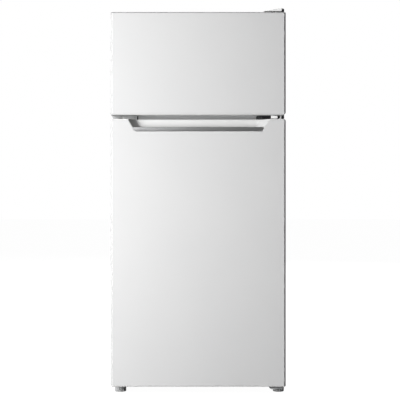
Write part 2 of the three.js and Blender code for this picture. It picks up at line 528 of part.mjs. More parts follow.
// ---------------------------------------------------------------- fridge door
const fridgeDoor = frameGroup(frameGroup(refrigerator, HINGE_X, HINGE_Y, FRIDGE_DOOR_Z), -HINGE_X, FRONT - HINGE_Y, 0);
{
  const H = FRIDGE_DOOR_H;
  const slope = (POCKET_TOP_HALF - POCKET_BOTTOM_HALF) / POCKET_TALL;
  const halfAt = (z) => POCKET_BOTTOM_HALF + slope * (z - (H - POCKET_TALL));
  const trapezoid = (grow, z0, z1) => [[-halfAt(z0) - grow, z0], [halfAt(z0) + grow, z0], [halfAt(z1) + grow, z1], [-halfAt(z1) - grow, z1]];
  const low = H - POCKET_TALL;
  // wedge-ended hollow: trapezoid at the face, a smaller one at the back
  const pocket = (front, back, grow, z1) => {
    const corners = [];
    for (const y of [front, back]) {
      const share = y / POCKET_DEEP;
      for (const z of [low - grow, z1]) {
        const x = halfAt(z) + grow * 1.4 - POCKET_TAPER * share;
        corners.push(new THREE.Vector3(x, y, z), new THREE.Vector3(-x, y, z));
      }
    }
    return solid(new ConvexGeometry(corners));
  };
  const { shell, fill } = doorLiner(H, 195, 46, 686, 46, 18);
  const skin = cut(doorSkin(H), prismY(trapezoid(0, low, H + 5), -5, SKIN + 0.2));
  const cap = cut(join(turnedOver(endCap(), H), pocket(SKIN + CLEAR, POCKET_DEEP + 2.5, 2.5, H - 1)),
    pocket(0, POCKET_DEEP, 0, H + 5), prismY(trapezoid(0, low, H + 5), -5, 0.01), pinHole(H - 20, H + 5, 3.6));
  place(fridgeDoor, "fridge_door_skin", skin, WHITE_STEEL);
  place(fridgeDoor, "fridge_door_top_cap", cap, WHITE_PLASTIC);
  const trimTop = low + TRIM_TALL;
  const trim = prismX([[0.5, low + CLEAR], [9, low + CLEAR], [9, trimTop - 2], [7, trimTop], [3, trimTop], [0.5, trimTop - 2.5]], -250, 250)
    .intersect(pocket(-2, 20, -0.5, trimTop + 1));
  place(fridgeDoor, "handle_trim", trim, LIP_METAL);
  place(fridgeDoor, "fridge_door_bottom_cap", cut(endCap(), pinHole(-5, 20, 4.6)), WHITE_PLASTIC);
  place(fridgeDoor, "fridge_door_foam", cut(join(doorFoam(H), fill),
    pocket(-5, POCKET_DEEP + 2.9, 3.0, H + 5),
    pinHole(-5, 17, 6), pinHole(H - 14, H + 5, 5)), FOAM);
  place(fridgeDoor, "fridge_door_liner", shell, LINER);
  place(fridgeDoor, "fridge_door_gasket", gasket(H), GASKET);
  const binY = LINER_END + CLEAR + 2;
  place(fridgeDoor, "door_shelf_upper", bin(171, 70, 52), CLEAR_PLASTIC, 0, binY, 560);
  place(fridgeDoor, "door_shelf_middle", bin(171, 80, 56), CLEAR_PLASTIC, 0, binY, 340);
  place(fridgeDoor, "door_shelf_lower", bin(171, 87.4, 78), CLEAR_PLASTIC, 0, binY, 74);
}

// ================================================================ inside the compartments
{
  // wire shelf: border and cross wires
  const x = FREEZER_HALF - 1;
  let rack = cut(block(-x, x, -140, 196, 0, 4), block(-x + 4, x - 4, -136, 192, -5, 9));
  for (let i = 1; i < 14; i += 1) {
    const cx = -x + 2 + (2 * x - 4) * i / 14;
    rack = join(rack, block(cx - 1.5, cx + 1.5, -138, 194, 1.0, 3.7));
  }
  place(cabinet, "freezer_shelf", rack, WIRE, 0, 0, FREEZER_SHELF_Z);
}
const glassShelf = () => join(block(-201, 201, SHELF_FRONT + 3, 210, 0, 4), block(-201, 201, SHELF_FRONT, SHELF_FRONT + 8, -3, 9)
  .subtract(block(-250, -195, -300, 300, -10, 0)).subtract(block(195, 250, -300, 300, -10, 0)));
place(cabinet, "glass_shelf_lower", glassShelf(), GLASS, 0, 0, SHELF_LOW_Z);
place(cabinet, "glass_shelf_upper", glassShelf(), GLASS, 0, 0, SHELF_HIGH_Z);
place(cabinet, "crisper_cover", join(block(-201, 201, -112, 214, 0, 4), block(-201, 201, -116, -106, -2, 9)
  .subtract(block(-250, -195, -300, 300, -10, 0)).subtract(block(195, 250, -300, 300, -10, 0))), GLASS, 0, 0, COVER_Z);

const crisper = frameGroup(refrigerator, 0, CRISPER_FRONT, FRIDGE_FLOOR + 1);
{
  const wide = 190;
  const tall = 168;
  const deep = STEP_Y - 4 - CRISPER_FRONT;
  const tub = cut(
    prismX([[0, 0], [deep - 12, 0], [deep, 12], [deep, tall], [0, tall]], -wide, wide),
    prismX([[2.5, 2.5], [deep - 13, 2.5], [deep - 2.5, 13], [deep - 2.5, tall + 5], [2.5, tall + 5]], -wide + 2.5, wide - 2.5));
  const pull = block(-60, 60, -10, 0.5, tall - 8, tall - 2);        // lip to pull the drawer by
  place(crisper, "crisper_drawer", join(tub, pull), CLEAR_PLASTIC);
}

// ---------------------------------------------------------------- thermostat, lamp and door switch
{
  const top = FRIDGE_CEILING - CLEAR;
  const low = 714;
  const shellBody = prismX([[-198, low + 6], [-192, low], [-66, low], [-60, low + 6], [-60, top], [-198, top]], -95, 95);
  const hollow = cut(shellBody, prismX([[-195.5, low + 7], [-191, low + 2.5], [-67, low + 2.5], [-62.5, low + 7], [-62.5, top + 5], [-195.5, top + 5]], -92.5, 92.5));
  const socket = block(-6, 2, -156, -124, low + 1, top - 2);
  place(cabinet, "thermostat_housing", cut(join(hollow, socket),
    block(2.1, 82, -184, -96, low - 5, 738),
    rodY(60, -205, -186, 728, 4, 12),
    rodZ(-45, -150, low - 5, low + 12, 4, 12)), WHITE_PLASTIC);
  place(cabinet, "thermostat_knob", join(
    turned([[0, -12], [15, -12], [17, -10], [17, 0], [0, 0]], 24),
    block(-2.5, 2.5, -15, 15, -17, -11), rodZ(0, 0, -1, 12, 3.6, 12)), WHITE_PLASTIC, -45, -150, low - 0.5);
  place(cabinet, "lamp_cover", cut(
    prismX([[-187, 0], [-187, -4], [-178, -9], [-102, -9], [-93, -4], [-93, 0]], -1, 85),
    prismX([[-185, 5], [-185, -3], [-177, -7], [-103, -7], [-95, -3], [-95, 5]], 1, 83)), LENS, 0, 0, low - CLEAR);
  place(cabinet, "lamp_bulb", turned([[0, 0], [6, 0], [6, 14], [9, 18], [9, 46], [6, 53], [0, 55]], 16).rotate([0, 90, 0]),
    LENS, 2.4, -140, 727);
  place(cabinet, "lamp_switch_plunger", join(rodY(0, -216.6, -188, 0, 3.4, 12), rodY(0, -188.6, -187, 0, 3.7, 12)), WHITE_PLASTIC, 60, 0, 728);
}

export default refrigerator;
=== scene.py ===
import math

import bmesh
import bpy
from mathutils import Matrix, Vector


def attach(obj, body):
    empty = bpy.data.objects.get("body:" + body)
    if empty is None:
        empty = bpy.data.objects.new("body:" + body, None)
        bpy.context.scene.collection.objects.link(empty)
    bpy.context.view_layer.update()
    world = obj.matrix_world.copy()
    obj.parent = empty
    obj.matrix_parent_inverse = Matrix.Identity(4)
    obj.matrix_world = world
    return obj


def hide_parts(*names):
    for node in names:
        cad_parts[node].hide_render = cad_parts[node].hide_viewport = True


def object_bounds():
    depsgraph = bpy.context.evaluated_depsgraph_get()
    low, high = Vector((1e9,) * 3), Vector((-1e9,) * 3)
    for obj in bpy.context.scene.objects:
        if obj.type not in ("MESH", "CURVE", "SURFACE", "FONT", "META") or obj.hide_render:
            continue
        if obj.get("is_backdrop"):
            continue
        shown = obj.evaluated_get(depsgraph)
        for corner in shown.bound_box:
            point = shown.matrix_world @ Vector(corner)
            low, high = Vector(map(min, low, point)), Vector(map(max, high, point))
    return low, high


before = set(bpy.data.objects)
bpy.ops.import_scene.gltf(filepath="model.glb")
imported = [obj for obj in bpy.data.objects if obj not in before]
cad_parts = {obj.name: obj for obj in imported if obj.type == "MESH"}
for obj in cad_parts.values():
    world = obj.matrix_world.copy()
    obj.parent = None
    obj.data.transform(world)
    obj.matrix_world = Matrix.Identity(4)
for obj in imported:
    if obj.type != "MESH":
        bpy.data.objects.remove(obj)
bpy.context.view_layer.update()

SCENE = bpy.context.scene
PI = math.pi


# ------------------------------------------------------------------ shapes, all in millimetres
def unit(x, y):
    d = math.hypot(x, y) or 1.0
    return x / d, y / d


def rect(u0, u1, v0, v1):
    return [(u0, v0), (u1, v0), (u1, v1), (u0, v1)]


def fillet(pts, rad, n=6, inset=0.0):
    """A closed outline, counter-clockwise, with rounded corners; inset moves every side inwards."""
    m = len(pts)
    rads = list(rad) if isinstance(rad, (list, tuple)) else [rad] * m
    out = []
    for i in range(m):
        (x0, y0), (x1, y1), (x2, y2) = pts[i - 1], pts[i], pts[(i + 1) % m]
        ax, ay = unit(x1 - x0, y1 - y0)
        bx, by = unit(x2 - x1, y2 - y1)
        cr, dt = ax * by - ay * bx, ax * bx + ay * by
        k = inset / (1 + dt)
        qx, qy = x1 - (ay + by) * k, y1 + (ax + bx) * k
        r = rads[i]
        if r <= 0:
            out.append((qx, qy))
            continue
        r = max(r - inset, 0.0) if cr > 0 else r + inset
        phi = math.atan2(cr, dt)
        t = r * math.tan(abs(phi) / 2)
        sx, sy = qx - ax * t, qy - ay * t
        s = 1 if cr > 0 else -1
        cx, cy = sx - ay * r * s, sy + ax * r * s
        vx, vy = sx - cx, sy - cy
        for j in range(n + 1):
            a = phi * j / n
            c, d = math.cos(a), math.sin(a)
            out.append((cx + vx * c - vy * d, cy + vx * d + vy * c))
    return out


def strip(pts, thick, r, n=4):
    """The section of a bent sheet: an open line given its thickness on the left, bends rounded."""
    def side(off):
        out = []
        m = len(pts)
        for i in range(m):
            x1, y1 = pts[i]
            if i in (0, m - 1):
                x0, y0 = pts[i - 1] if i else pts[0]
                x2, y2 = pts[i] if i else pts[1]
                ax, ay = unit(x2 - x0, y2 - y0)
                out.append((x1 - ay * off, y1 + ax * off))
                continue
            x0, y0 = pts[i - 1]
            x2, y2 = pts[i + 1]
            ax, ay = unit(x1 - x0, y1 - y0)
            bx, by = unit(x2 - x1, y2 - y1)
            cr, dt = ax * by - ay * bx, ax * bx + ay * by
            k = off / (1 + dt)
            qx, qy = x1 - (ay + by) * k, y1 + (ax + bx) * k
            rr = max(r + (thick - off if cr > 0 else off), 0.01)
            phi = math.atan2(cr, dt)
            t = rr * math.tan(abs(phi) / 2)
            sx, sy = qx - ax * t, qy - ay * t
            s = 1 if cr > 0 else -1
            cx, cy = sx - ay * rr * s, sy + ax * rr * s
            vx, vy = sx - cx, sy - cy
            for j in range(n + 1):
                a = phi * j / n
                c, d = math.cos(a), math.sin(a)
                out.append((cx + vx * c - vy * d, cy + vx * d + vy * c))
        return out
    return side(0.0) + side(thick)[::-1]


def at(axis, u, v, a):
    return (a, u, v) if axis == "X" else (u, a, v) if axis == "Y" else (u, v, a)


def to_object(bm, name="shape", tidy=True):
    if tidy:
        bmesh.ops.remove_doubles(bm, verts=bm.verts, dist=2e-4)
        bmesh.ops.dissolve_degenerate(bm, edges=bm.edges, dist=1e-5)
    bmesh.ops.recalc_face_normals(bm, faces=bm.faces)
    if bm.calc_volume(signed=True) < 0:
        bmesh.ops.reverse_faces(bm, faces=bm.faces)
    me = bpy.data.meshes.new(name)
    bm.to_mesh(me)
    bm.free()
    ob = bpy.data.objects.new(name, me)
    SCENE.collection.objects.link(ob)
    return ob


def loft(rings, closed=True, caps=True, around=False):
    """Skins a row of rings of equal length; around joins the last ring to the first."""
    bm = bmesh.new()
    vs = [[bm.verts.new(p) for p in r] for r in rings]
    n = len(rings[0])
    pairs = list(zip(vs, vs[1:])) + ([(vs[-1], vs[0])] if around else [])
    for a, b in pairs:
        for i in range(n if closed else n - 1):
            j = (i + 1) % n
            bm.faces.new((a[i], a[j], b[j], b[i]))
    if caps and not around:
        bm.faces.new(vs[0][::-1])
        bm.faces.new(vs[-1])
    return to_object(bm)


def round_steps(r, m):
    """(how far from the end, how far in) along a quarter circle."""
    return [(r * (1 - math.cos(PI / 2 * j / m)), r * (1 - math.sin(PI / 2 * j / m))) for j in range(m + 1)]


def prism(axis, outline, rad, a0, a1, e0=0.0, e1=0.0, n=6, m=4, draft=0.0):
    """An outline raised from a0 to a1, its end edges rounded by e0 and e1; draft is the inset at a0."""
    def inset(a, i):
        return i + draft * (a1 - a) / (a1 - a0)
    levels = [(a0 + d, i) for d, i in round_steps(e0, m)] if e0 > 0 else [(a0, 0.0)]
    levels += [(a1 - d, i) for d, i in reversed(round_steps(e1, m))] if e1 > 0 else [(a1, 0.0)]
    return loft([[at(axis, u, v, a) for u, v in fillet(outline, rad, n, inset(a, i))] for a, i in levels])


def stack(axis, outline, rad, levels, n=6):
    """An outline lofted through (position, inset) levels."""
    return loft([[at(axis, u, v, a) for u, v in fillet(outline, rad, n, i)] for a, i in levels])


def rbox(x0, x1, y0, y1, z0, z1, r=1.0, n=4):
    r = min(r, (x1 - x0) * 0.499, (y1 - y0) * 0.499, (z1 - z0) * 0.499)
    return prism("Z", rect(x0, x1, y0, y1), r, z0, z1, r, r, n=n, m=n)


def sharp_box(x0, x1, y0, y1, z0, z1):
    return prism("Z", rect(x0, x1, y0, y1), 0, z0, z1)


def ring_sweep(axis, outline, rad, profile, n=6):
    """A closed section of (inset, position) carried round an outline."""
    return loft([[at(axis, u, v, a) for u, v in fillet(outline, rad, n, i)] for i, a in profile], around=True)


def turned(profile, n=48, axis="Z", origin=(0, 0, 0), stretch=(1.0, 1.0), wave=None):
    """A turned piece from (radius, position) pairs that start and end on the axis; wave changes the radius round it."""
    rings = []
    for r, a in profile:
        ring = []
        for k in range(n):
            t = 2 * PI * k / n
            rr = r if wave is None else r + wave(r, a, t)
            ring.append(Vector(at(axis, rr * math.cos(t) * stretch[0], rr * math.sin(t) * stretch[1], a)) + Vector(origin))
        rings.append(ring)
    return loft(rings, caps=False)


def rod(axis, u, v, a0, a1, r, e=0.4, n=24):
    e = min(e, r * 0.9, (a1 - a0) * 0.45)
    pts = [(0, a0)] + [(r - i, a0 + d) for d, i in round_steps(e, 3)] + [(r - i, a1 - d) for d, i in reversed(round_steps(e, 3))] + [(0, a1)]
    return turned(pts, n, axis, at(axis, u, v, 0))


def smooth_line(points, r, n=6):
    """A line in space with its corners rounded."""
    v = [Vector(p) for p in points]
    out = [v[0]]
    for i in range(1, len(v) - 1):
        a, b = (v[i - 1] - v[i]), (v[i + 1] - v[i])
        la, lb = a.length, b.length
        a.normalize()
        b.normalize()
        half = a.angle(b) / 2
        if half > PI / 2 - 1e-3:
            out.append(v[i])
            continue
        reach = min(r / math.tan(half), la * 0.499, lb * 0.499)
        rr = reach * math.tan(half)
        mid = (a + b).normalized()
        c = v[i] + mid * (rr / math.sin(half))
        p0, p1 = v[i] + a * reach, v[i] + b * reach
        s, e = p0 - c, p1 - c
        ang = s.angle(e)
        for j in range(n + 1):
            t = j / n
            out.append(c + (s * math.sin((1 - t) * ang) + e * math.sin(t * ang)) / math.sin(ang))
    out.append(v[-1])
    return out


def tube(points, r, sides=16, around=False, ends=True):
    """A round bar along a line in space."""
    p = [Vector(q) for q in points]
    n = len(p)
    tangents = []
    for i in range(n):
        a = p[i] - p[i - 1] if (i or around) else p[1] - p[0]
        b = p[(i + 1) % n] - p[i] if (i < n - 1 or around) else a
        tangents.append((a.normalized() + b.normalized()).normalized())
    up = Vector((0, 0, 1)) if abs(tangents[0].z) < 0.9 else Vector((1, 0, 0))
    side = tangents[0].cross(up).normalized()
    rings = []
    for i in range(n):
        side = (side - tangents[i] * side.dot(tangents[i])).normalized()
        other = tangents[i].cross(side)
        rr = r(i / (n - 1)) if callable(r) else r
        rings.append([p[i] + (side * math.cos(2 * PI * k / sides) + other * math.sin(2 * PI * k / sides)) * rr for k in range(sides)])
    if ends and not around:
        rr0 = r(0) if callable(r) else r
        first = [p[0] - tangents[0] * rr0 * 0.0 + (q - p[0]) * 0.8 for q in rings[0]]
        last = [p[-1] + (q - p[-1]) * 0.8 for q in rings[-1]]
        rings = [first] + [[q + tangents[0] * rr0 * 0.2 for q in rings[0]]] + rings[1:-1] + [[q - tangents[-1] * rr0 * 0.2 for q in rings[-1]]] + [last]
    return loft(rings, around=around)


def boolean(a, b, how):
    mod = a.modifiers.new("b", "BOOLEAN")
    mod.operation, mod.solver, mod.object = how, "MANIFOLD", b
    graph = bpy.context.evaluated_depsgraph_get()
    made = bpy.data.meshes.new_from_object(a.evaluated_get(graph))
    a.modifiers.remove(mod)
    if len(made.polygons) == 0:
        raise RuntimeError(f"a boolean {how} came out empty")
    old = a.data
    a.data = made
    bpy.data.meshes.remove(old)
    mesh = b.data
    bpy.data.objects.remove(b)
    bpy.data.meshes.remove(mesh)
    return a


def cut(a, *tools):
    for t in tools:
        boolean(a, t, "DIFFERENCE")
    return a


def join(a, *more):
    for t in more:
        boolean(a, t, "UNION")
    return a


def heap(*parts):
    """Several closed bodies in one object."""
    first = parts[0]
    bm = bmesh.new()
    for p in parts:
        bm.from_mesh(p.data)
    bm.to_mesh(first.data)
    bm.free()
    for p in parts[1:]:
        mesh = p.data
        bpy.data.objects.remove(p)
        bpy.data.meshes.remove(mesh)
    return first


def heap_copy(ob):
    made = bpy.data.objects.new("shape", ob.data.copy())
    SCENE.collection.objects.link(made)
    return made


def moved(ob, x=0.0, y=0.0, z=0.0, turn=None, scale=None):
    m = Matrix.Translation((x, y, z))
    if turn is not None:
        m = m @ Matrix.Rotation(turn[1], 4, turn[0])
    if scale is not None:
        m = m @ Matrix.Diagonal((*scale, 1.0))
    ob.data.transform(m)
    if scale is not None and scale[0] * scale[1] * scale[2] < 0:
        ob.data.flip_normals()
    return ob


def piece(name, ob, body, finish, nodes=(), angle=34, weighted=True):
    """Brings a shape to metres, gives it its finish, and puts it on its body."""
    ob.name = name
    ob.data.name = name
    ob.data.transform(Matrix.Scale(0.001, 4))
    ob.data.materials.clear()
    ob.data.materials.append(finish)
    ob.data.polygons.foreach_set("material_index", [0] * len(ob.data.polygons))
    ob.data.shade_smooth()
    ob.data.set_sharp_from_angle(angle=math.radians(angle))
    if weighted:
        mod = ob.modifiers.new("weighted_normals", "WEIGHTED_NORMAL")
        mod.keep_sharp = True
        mod.weight = 60
    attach(ob, body)
    if nodes:
        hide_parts(*nodes)
    return ob


# ------------------------------------------------------------------ finishes
def finish(name, color, roughness, metallic=0.0, second=None, blotch=7.0, rough_span=0.05, rough_scale=30.0, bumps=(),
           stretch=(1.0, 1.0, 1.0), coat=0.0, coat_rough=0.08, transmission=0.0, ior=1.5, specular=0.5, subsurface=0.0,
           cells=None, tint=(1.0, 1.0, 1.0)):
    """A procedural finish: colour and roughness vary with noise, and bumps are (kind, scale per metre, height in metres, strength)."""
    mat = bpy.data.materials.new(name)
    mat.use_nodes = True
    tree = mat.node_tree
    tree.nodes.clear()
    new = tree.nodes.new
    link = tree.links.new
    out = new("ShaderNodeOutputMaterial")
    shader = new("ShaderNodeBsdfPrincipled")
    link(shader.outputs[0], out.inputs[0])
    shader.inputs["Metallic"].default_value = metallic
    shader.inputs["IOR"].default_value = ior
    shader.inputs["Specular IOR Level"].default_value = specular
    shader.inputs["Coat Weight"].default_value = coat
    shader.inputs["Coat Roughness"].default_value = coat_rough
    shader.inputs["Transmission Weight"].default_value = transmission
    if subsurface:
        shader.inputs["Subsurface Weight"].default_value = subsurface
        shader.inputs["Subsurface Radius"].default_value = (0.004, 0.004, 0.004)
        shader.inputs["Subsurface Scale"].default_value = 1.0
    where = new("ShaderNodeTexCoord")
    mapping = new("ShaderNodeMapping")
    mapping.inputs["Scale"].default_value = stretch
    link(where.outputs["Object"], mapping.inputs["Vector"])

    def noise(scale, detail=3.0, rough=0.55, distort=0.0, plain=False):
        node = new("ShaderNodeTexNoise")
        node.inputs["Scale"].default_value = scale
        node.inputs["Detail"].default_value = detail
        node.inputs["Roughness"].default_value = rough
        node.inputs["Distortion"].default_value = distort
        link((where.outputs["Object"] if plain else mapping.outputs[0]), node.inputs["Vector"])
        return node.outputs["Fac"]

    def ramp(source, low, high, a, b):
        node = new("ShaderNodeMapRange")
        node.inputs["From Min"].default_value = low
        node.inputs["From Max"].default_value = high
        node.inputs["To Min"].default_value = a
        node.inputs["To Max"].default_value = b
        link(source, node.inputs["Value"])
        return node.outputs[0]

    second = second or tuple(c * 0.96 for c in color)
    mix = new("ShaderNodeMix")
    mix.data_type = "RGBA"
    mix.inputs["A"].default_value = (*color, 1.0)
    mix.inputs["B"].default_value = (*second, 1.0)
    if cells:
        cell = new("ShaderNodeTexVoronoi")
        cell.inputs["Scale"].default_value = cells
        cell.inputs["Randomness"].default_value = 1.0
        link(mapping.outputs[0], cell.inputs["Vector"])
        sep = new("ShaderNodeSeparateColor")
        link(cell.outputs["Color"], sep.inputs[0])
        link(ramp(sep.outputs[0], 0.0, 1.0, 0.0, 1.0), mix.inputs["Factor"])
        link(ramp(sep.outputs[1], 0.0, 1.0, roughness - rough_span, roughness + rough_span), shader.inputs["Roughness"])
    else:
        link(ramp(noise(blotch), 0.35, 0.65, 0.0, 1.0), mix.inputs["Factor"])
        link(ramp(noise(rough_scale, 2.0), 0.3, 0.7, roughness - rough_span, roughness + rough_span), shader.inputs["Roughness"])
    link(mix.outputs["Result"], shader.inputs["Base Color"])
    last = None
    for kind, scale, height, strength in bumps:
        node = new("ShaderNodeBump")
        node.inputs["Strength"].default_value = strength
        node.inputs["Distance"].default_value = height
        if kind == "noise":
            source = noise(scale, 4.0, 0.6)
        elif kind == "even":
            source = noise(scale, 1.0, 0.5, plain=True)
        else:
            tex = new("ShaderNodeTexVoronoi")
            tex.feature = "F1" if kind == "cells" else "SMOOTH_F1"
            tex.inputs["Scale"].default_value = scale
            link(mapping.outputs[0], tex.inputs["Vector"])
            source = tex.outputs["Distance"]
        link(source, node.inputs["Height"])
        if last is not None:
            link(last, node.inputs["Normal"])
        last = node.outputs[0]
    if last is not None:
        link(last, shader.inputs["Normal"])
    return mat


DOOR = finish("door_steel", (0.665, 0.665, 0.665), 0.4, second=(0.645, 0.646, 0.648), blotch=2.5, rough_span=0.03, rough_scale=14,
              bumps=(("even", 900, 0.00002, 0.25),), coat=0.12, coat_rough=0.2)
CASE = finish("case_steel", (0.60, 0.603, 0.605), 0.42, second=(0.58, 0.584, 0.588), blotch=3, rough_span=0.04,
              bumps=(("even", 1400, 0.00003, 0.3),), coat=0.15, coat_rough=0.25)
RAIL = finish("rail_steel", (0.56, 0.563, 0.565), 0.45, second=(0.54, 0.543, 0.548), blotch=4, rough_span=0.04, rough_scale=30,
              bumps=(("even", 1400, 0.00003, 0.3),))
WHITE = finish("white_plastic", (0.75, 0.75, 0.745), 0.4, second=(0.73, 0.732, 0.725), blotch=12, rough_span=0.05, rough_scale=60,
               bumps=(("even", 2600, 0.00002, 0.3),), subsurface=0.06)
LID = finish("lid_plastic", (0.90, 0.90, 0.895), 0.4, second=(0.88, 0.88, 0.875), blotch=12, rough_span=0.05, rough_scale=60,
             bumps=(("even", 2600, 0.00002, 0.3),), subsurface=0.06)
LINER = finish("liner_plastic", (0.72, 0.725, 0.72), 0.36, second=(0.705, 0.712, 0.71), blotch=4, rough_span=0.03, rough_scale=8,
               bumps=(("even", 1800, 0.00001, 0.2),))
GASKET = finish("gasket_rubber", (0.56, 0.565, 0.56), 0.62, second=(0.52, 0.525, 0.52), blotch=25, rough_span=0.06, rough_scale=80,
                bumps=(("even", 3200, 0.00002, 0.4),), subsurface=0.05)
FOAM = finish("foam", (0.79, 0.66, 0.31), 0.88, second=(0.68, 0.54, 0.22), blotch=30, rough_span=0.06,
              bumps=(("cells", 500, 0.0006, 0.8), ("noise", 60, 0.001, 0.4)))
LIP = finish("lip_metal", (0.65, 0.653, 0.66), 0.29, metallic=1.0, second=(0.60, 0.604, 0.612), blotch=1.0, rough_span=0.02, rough_scale=1.0,
             stretch=(3.0, 700.0, 700.0), bumps=(("noise", 1.0, 0.000004, 0.08),))
ZINC = finish("zinc_steel", (0.60, 0.61, 0.62), 0.36, metallic=1.0, second=(0.47, 0.49, 0.52), blotch=90, rough_span=0.1, rough_scale=160,
              bumps=(("noise", 700, 0.00003, 0.3),))
GALVANISED = finish("galvanised_steel", (0.50, 0.51, 0.52), 0.5, metallic=0.6, second=(0.43, 0.44, 0.455), cells=120, rough_span=0.06,
                    bumps=(("noise", 500, 0.00002, 0.25),))
BLACK = finish("black_plastic", (0.016, 0.0165, 0.018), 0.46, second=(0.024, 0.0245, 0.026), blotch=60, rough_span=0.08, rough_scale=200,
               specular=0.3, bumps=(("even", 2400, 0.00004, 0.5),))
# painted highlight: a lighter near-black stands in for the glints on the middle hinge stop's ribs
RIB_PAINTED_HIGHLIGHT = finish("rib_plastic_painted_highlight", (0.05, 0.051, 0.053), 0.5, second=(0.06, 0.061, 0.063), blotch=60, rough_span=0.08, rough_scale=200,
              specular=0.3, bumps=(("even", 2400, 0.00004, 0.5),))
PAINT = finish("black_paint", (0.013, 0.0135, 0.014), 0.3, second=(0.02, 0.02, 0.021), blotch=20, rough_span=0.08, rough_scale=50,
               bumps=(("even", 260, 0.0002, 0.25),), coat=0.4, coat_rough=0.15)
COPPER = finish("copper", (0.80, 0.38, 0.22), 0.3, metallic=1.0, second=(0.50, 0.21, 0.12), blotch=35, rough_span=0.1, rough_scale=90,
                bumps=(("noise", 300, 0.00003, 0.25),))
PLATE = finish("cold_plate", (0.72, 0.73, 0.74), 0.38, metallic=1.0, second=(0.62, 0.64, 0.66), blotch=15, rough_span=0.08,
               bumps=(("soft", 120, 0.0003, 0.4),))
GLASS = finish("shelf_glass", (0.93, 0.985, 0.97), 0.04, second=(0.90, 0.975, 0.955), blotch=3, rough_span=0.02, rough_scale=20,
               transmission=1.0, ior=1.5, bumps=(("even", 40, 0.00002, 0.05),))
CLEAR = finish("clear_plastic", (0.91, 0.955, 0.975), 0.1, second=(0.88, 0.94, 0.965), blotch=6, rough_span=0.04, rough_scale=30,
               transmission=0.82, ior=1.49, bumps=(("even", 80, 0.00008, 0.12),))
# painted shade: a grey standing in for the shade along the freezer door's top edge
TOP_CAP_PAINTED_SHADE = finish("cap_plastic_painted_shade", (0.42, 0.422, 0.425), 0.42, second=(0.39, 0.392, 0.396), blotch=12, rough_span=0.05, rough_scale=60,
             bumps=(("even", 2600, 0.00002, 0.3),))
# painted shade: a darker copy of the white plastic stands in for the shade on the freezer door's bottom cap inside the
# door gap
BOTTOM_CAP_PAINTED_SHADE = finish("edge_plastic_painted_shade", (0.62, 0.622, 0.62), 0.42, second=(0.59, 0.592, 0.59), blotch=12, rough_span=0.05, rough_scale=60,
                  bumps=(("even", 2600, 0.00002, 0.3),))
# painted shade: two darker copies of the white pocket plastic, the left one darker still, stand in for the shade that
# falls on the grip pocket's end walls
PAINTED_SHADE_LEFT = finish("pocket_end_left_painted_shade", (0.50, 0.502, 0.50), 0.42, second=(0.48, 0.482, 0.48), blotch=12, rough_span=0.05, rough_scale=60,
                  bumps=(("even", 2600, 0.00002, 0.3),))
PAINTED_SHADE_RIGHT = finish("pocket_end_right_painted_shade", (0.69, 0.692, 0.69), 0.42, second=(0.67, 0.672, 0.67), blotch=12, rough_span=0.05, rough_scale=60,
                   bumps=(("even", 2600, 0.00002, 0.3),))
DULL = finish("dull_zinc", (0.46, 0.465, 0.47), 0.5, metallic=0.15, second=(0.38, 0.385, 0.395), blotch=90, rough_span=0.08, rough_scale=160,
              bumps=(("noise", 700, 0.00003, 0.3),))
WIRE = finish("wire", (0.80, 0.805, 0.80), 0.36, second=(0.75, 0.755, 0.76), blotch=60, rough_span=0.06, rough_scale=120,
              bumps=(("even", 500, 0.00008, 0.3),), coat=0.2)
LENS = finish("lens", (0.90, 0.89, 0.84), 0.26, second=(0.86, 0.85, 0.79), blotch=15, rough_span=0.05, rough_scale=60,
              transmission=0.45, ior=1.49, bumps=(("even", 1200, 0.00003, 0.3),), subsurface=0.1)
GREY = finish("grey_plastic", (0.42, 0.422, 0.425), 0.45, second=(0.37, 0.373, 0.378), blotch=30, rough_span=0.07, rough_scale=90,
              bumps=(("even", 1900, 0.00004, 0.5),))
ROLLER = finish("roller_plastic", (0.028, 0.028, 0.03), 0.5, second=(0.042, 0.042, 0.044), blotch=80, rough_span=0.08, rough_scale=150,
                bumps=(("even", 1500, 0.00005, 0.5),))

# ------------------------------------------------------------------ doors
DOOR_TOP, DOOR_MID_LOW, DOOR_MID_HIGH, DOOR_BASE = 1083.5, 791.5, 780.5, 24.0
FRONT = -265.0
EDGE = (4.3, 7.9)
HALF = 247.5
HINGE = (233.0, -243.0)
DOOR_PLAN = [(-HALF, FRONT + EDGE[1]), (-HALF + EDGE[0], FRONT), (HALF - EDGE[0], FRONT), (HALF, FRONT + EDGE[1]), (HALF, -217.2), (-HALF, -217.2)]
DOOR_R = [4.0, 2.0, 2.0, 4.0, 1.5, 1.5]
POCKET = [(-180.6, 745.5), (181.4, 745.5), (188.2, 758.5), (194.2, 767.5), (204.0, 780.5), (211.2, 790.0),
          (-205.0, 790.0), (-199.0, 780.5), (-192.2, 767.5), (-186.6, 758.5)]
POCKET_R = [8, 3.5, 30, 30, 30, 0, 0, 30, 30, 30]


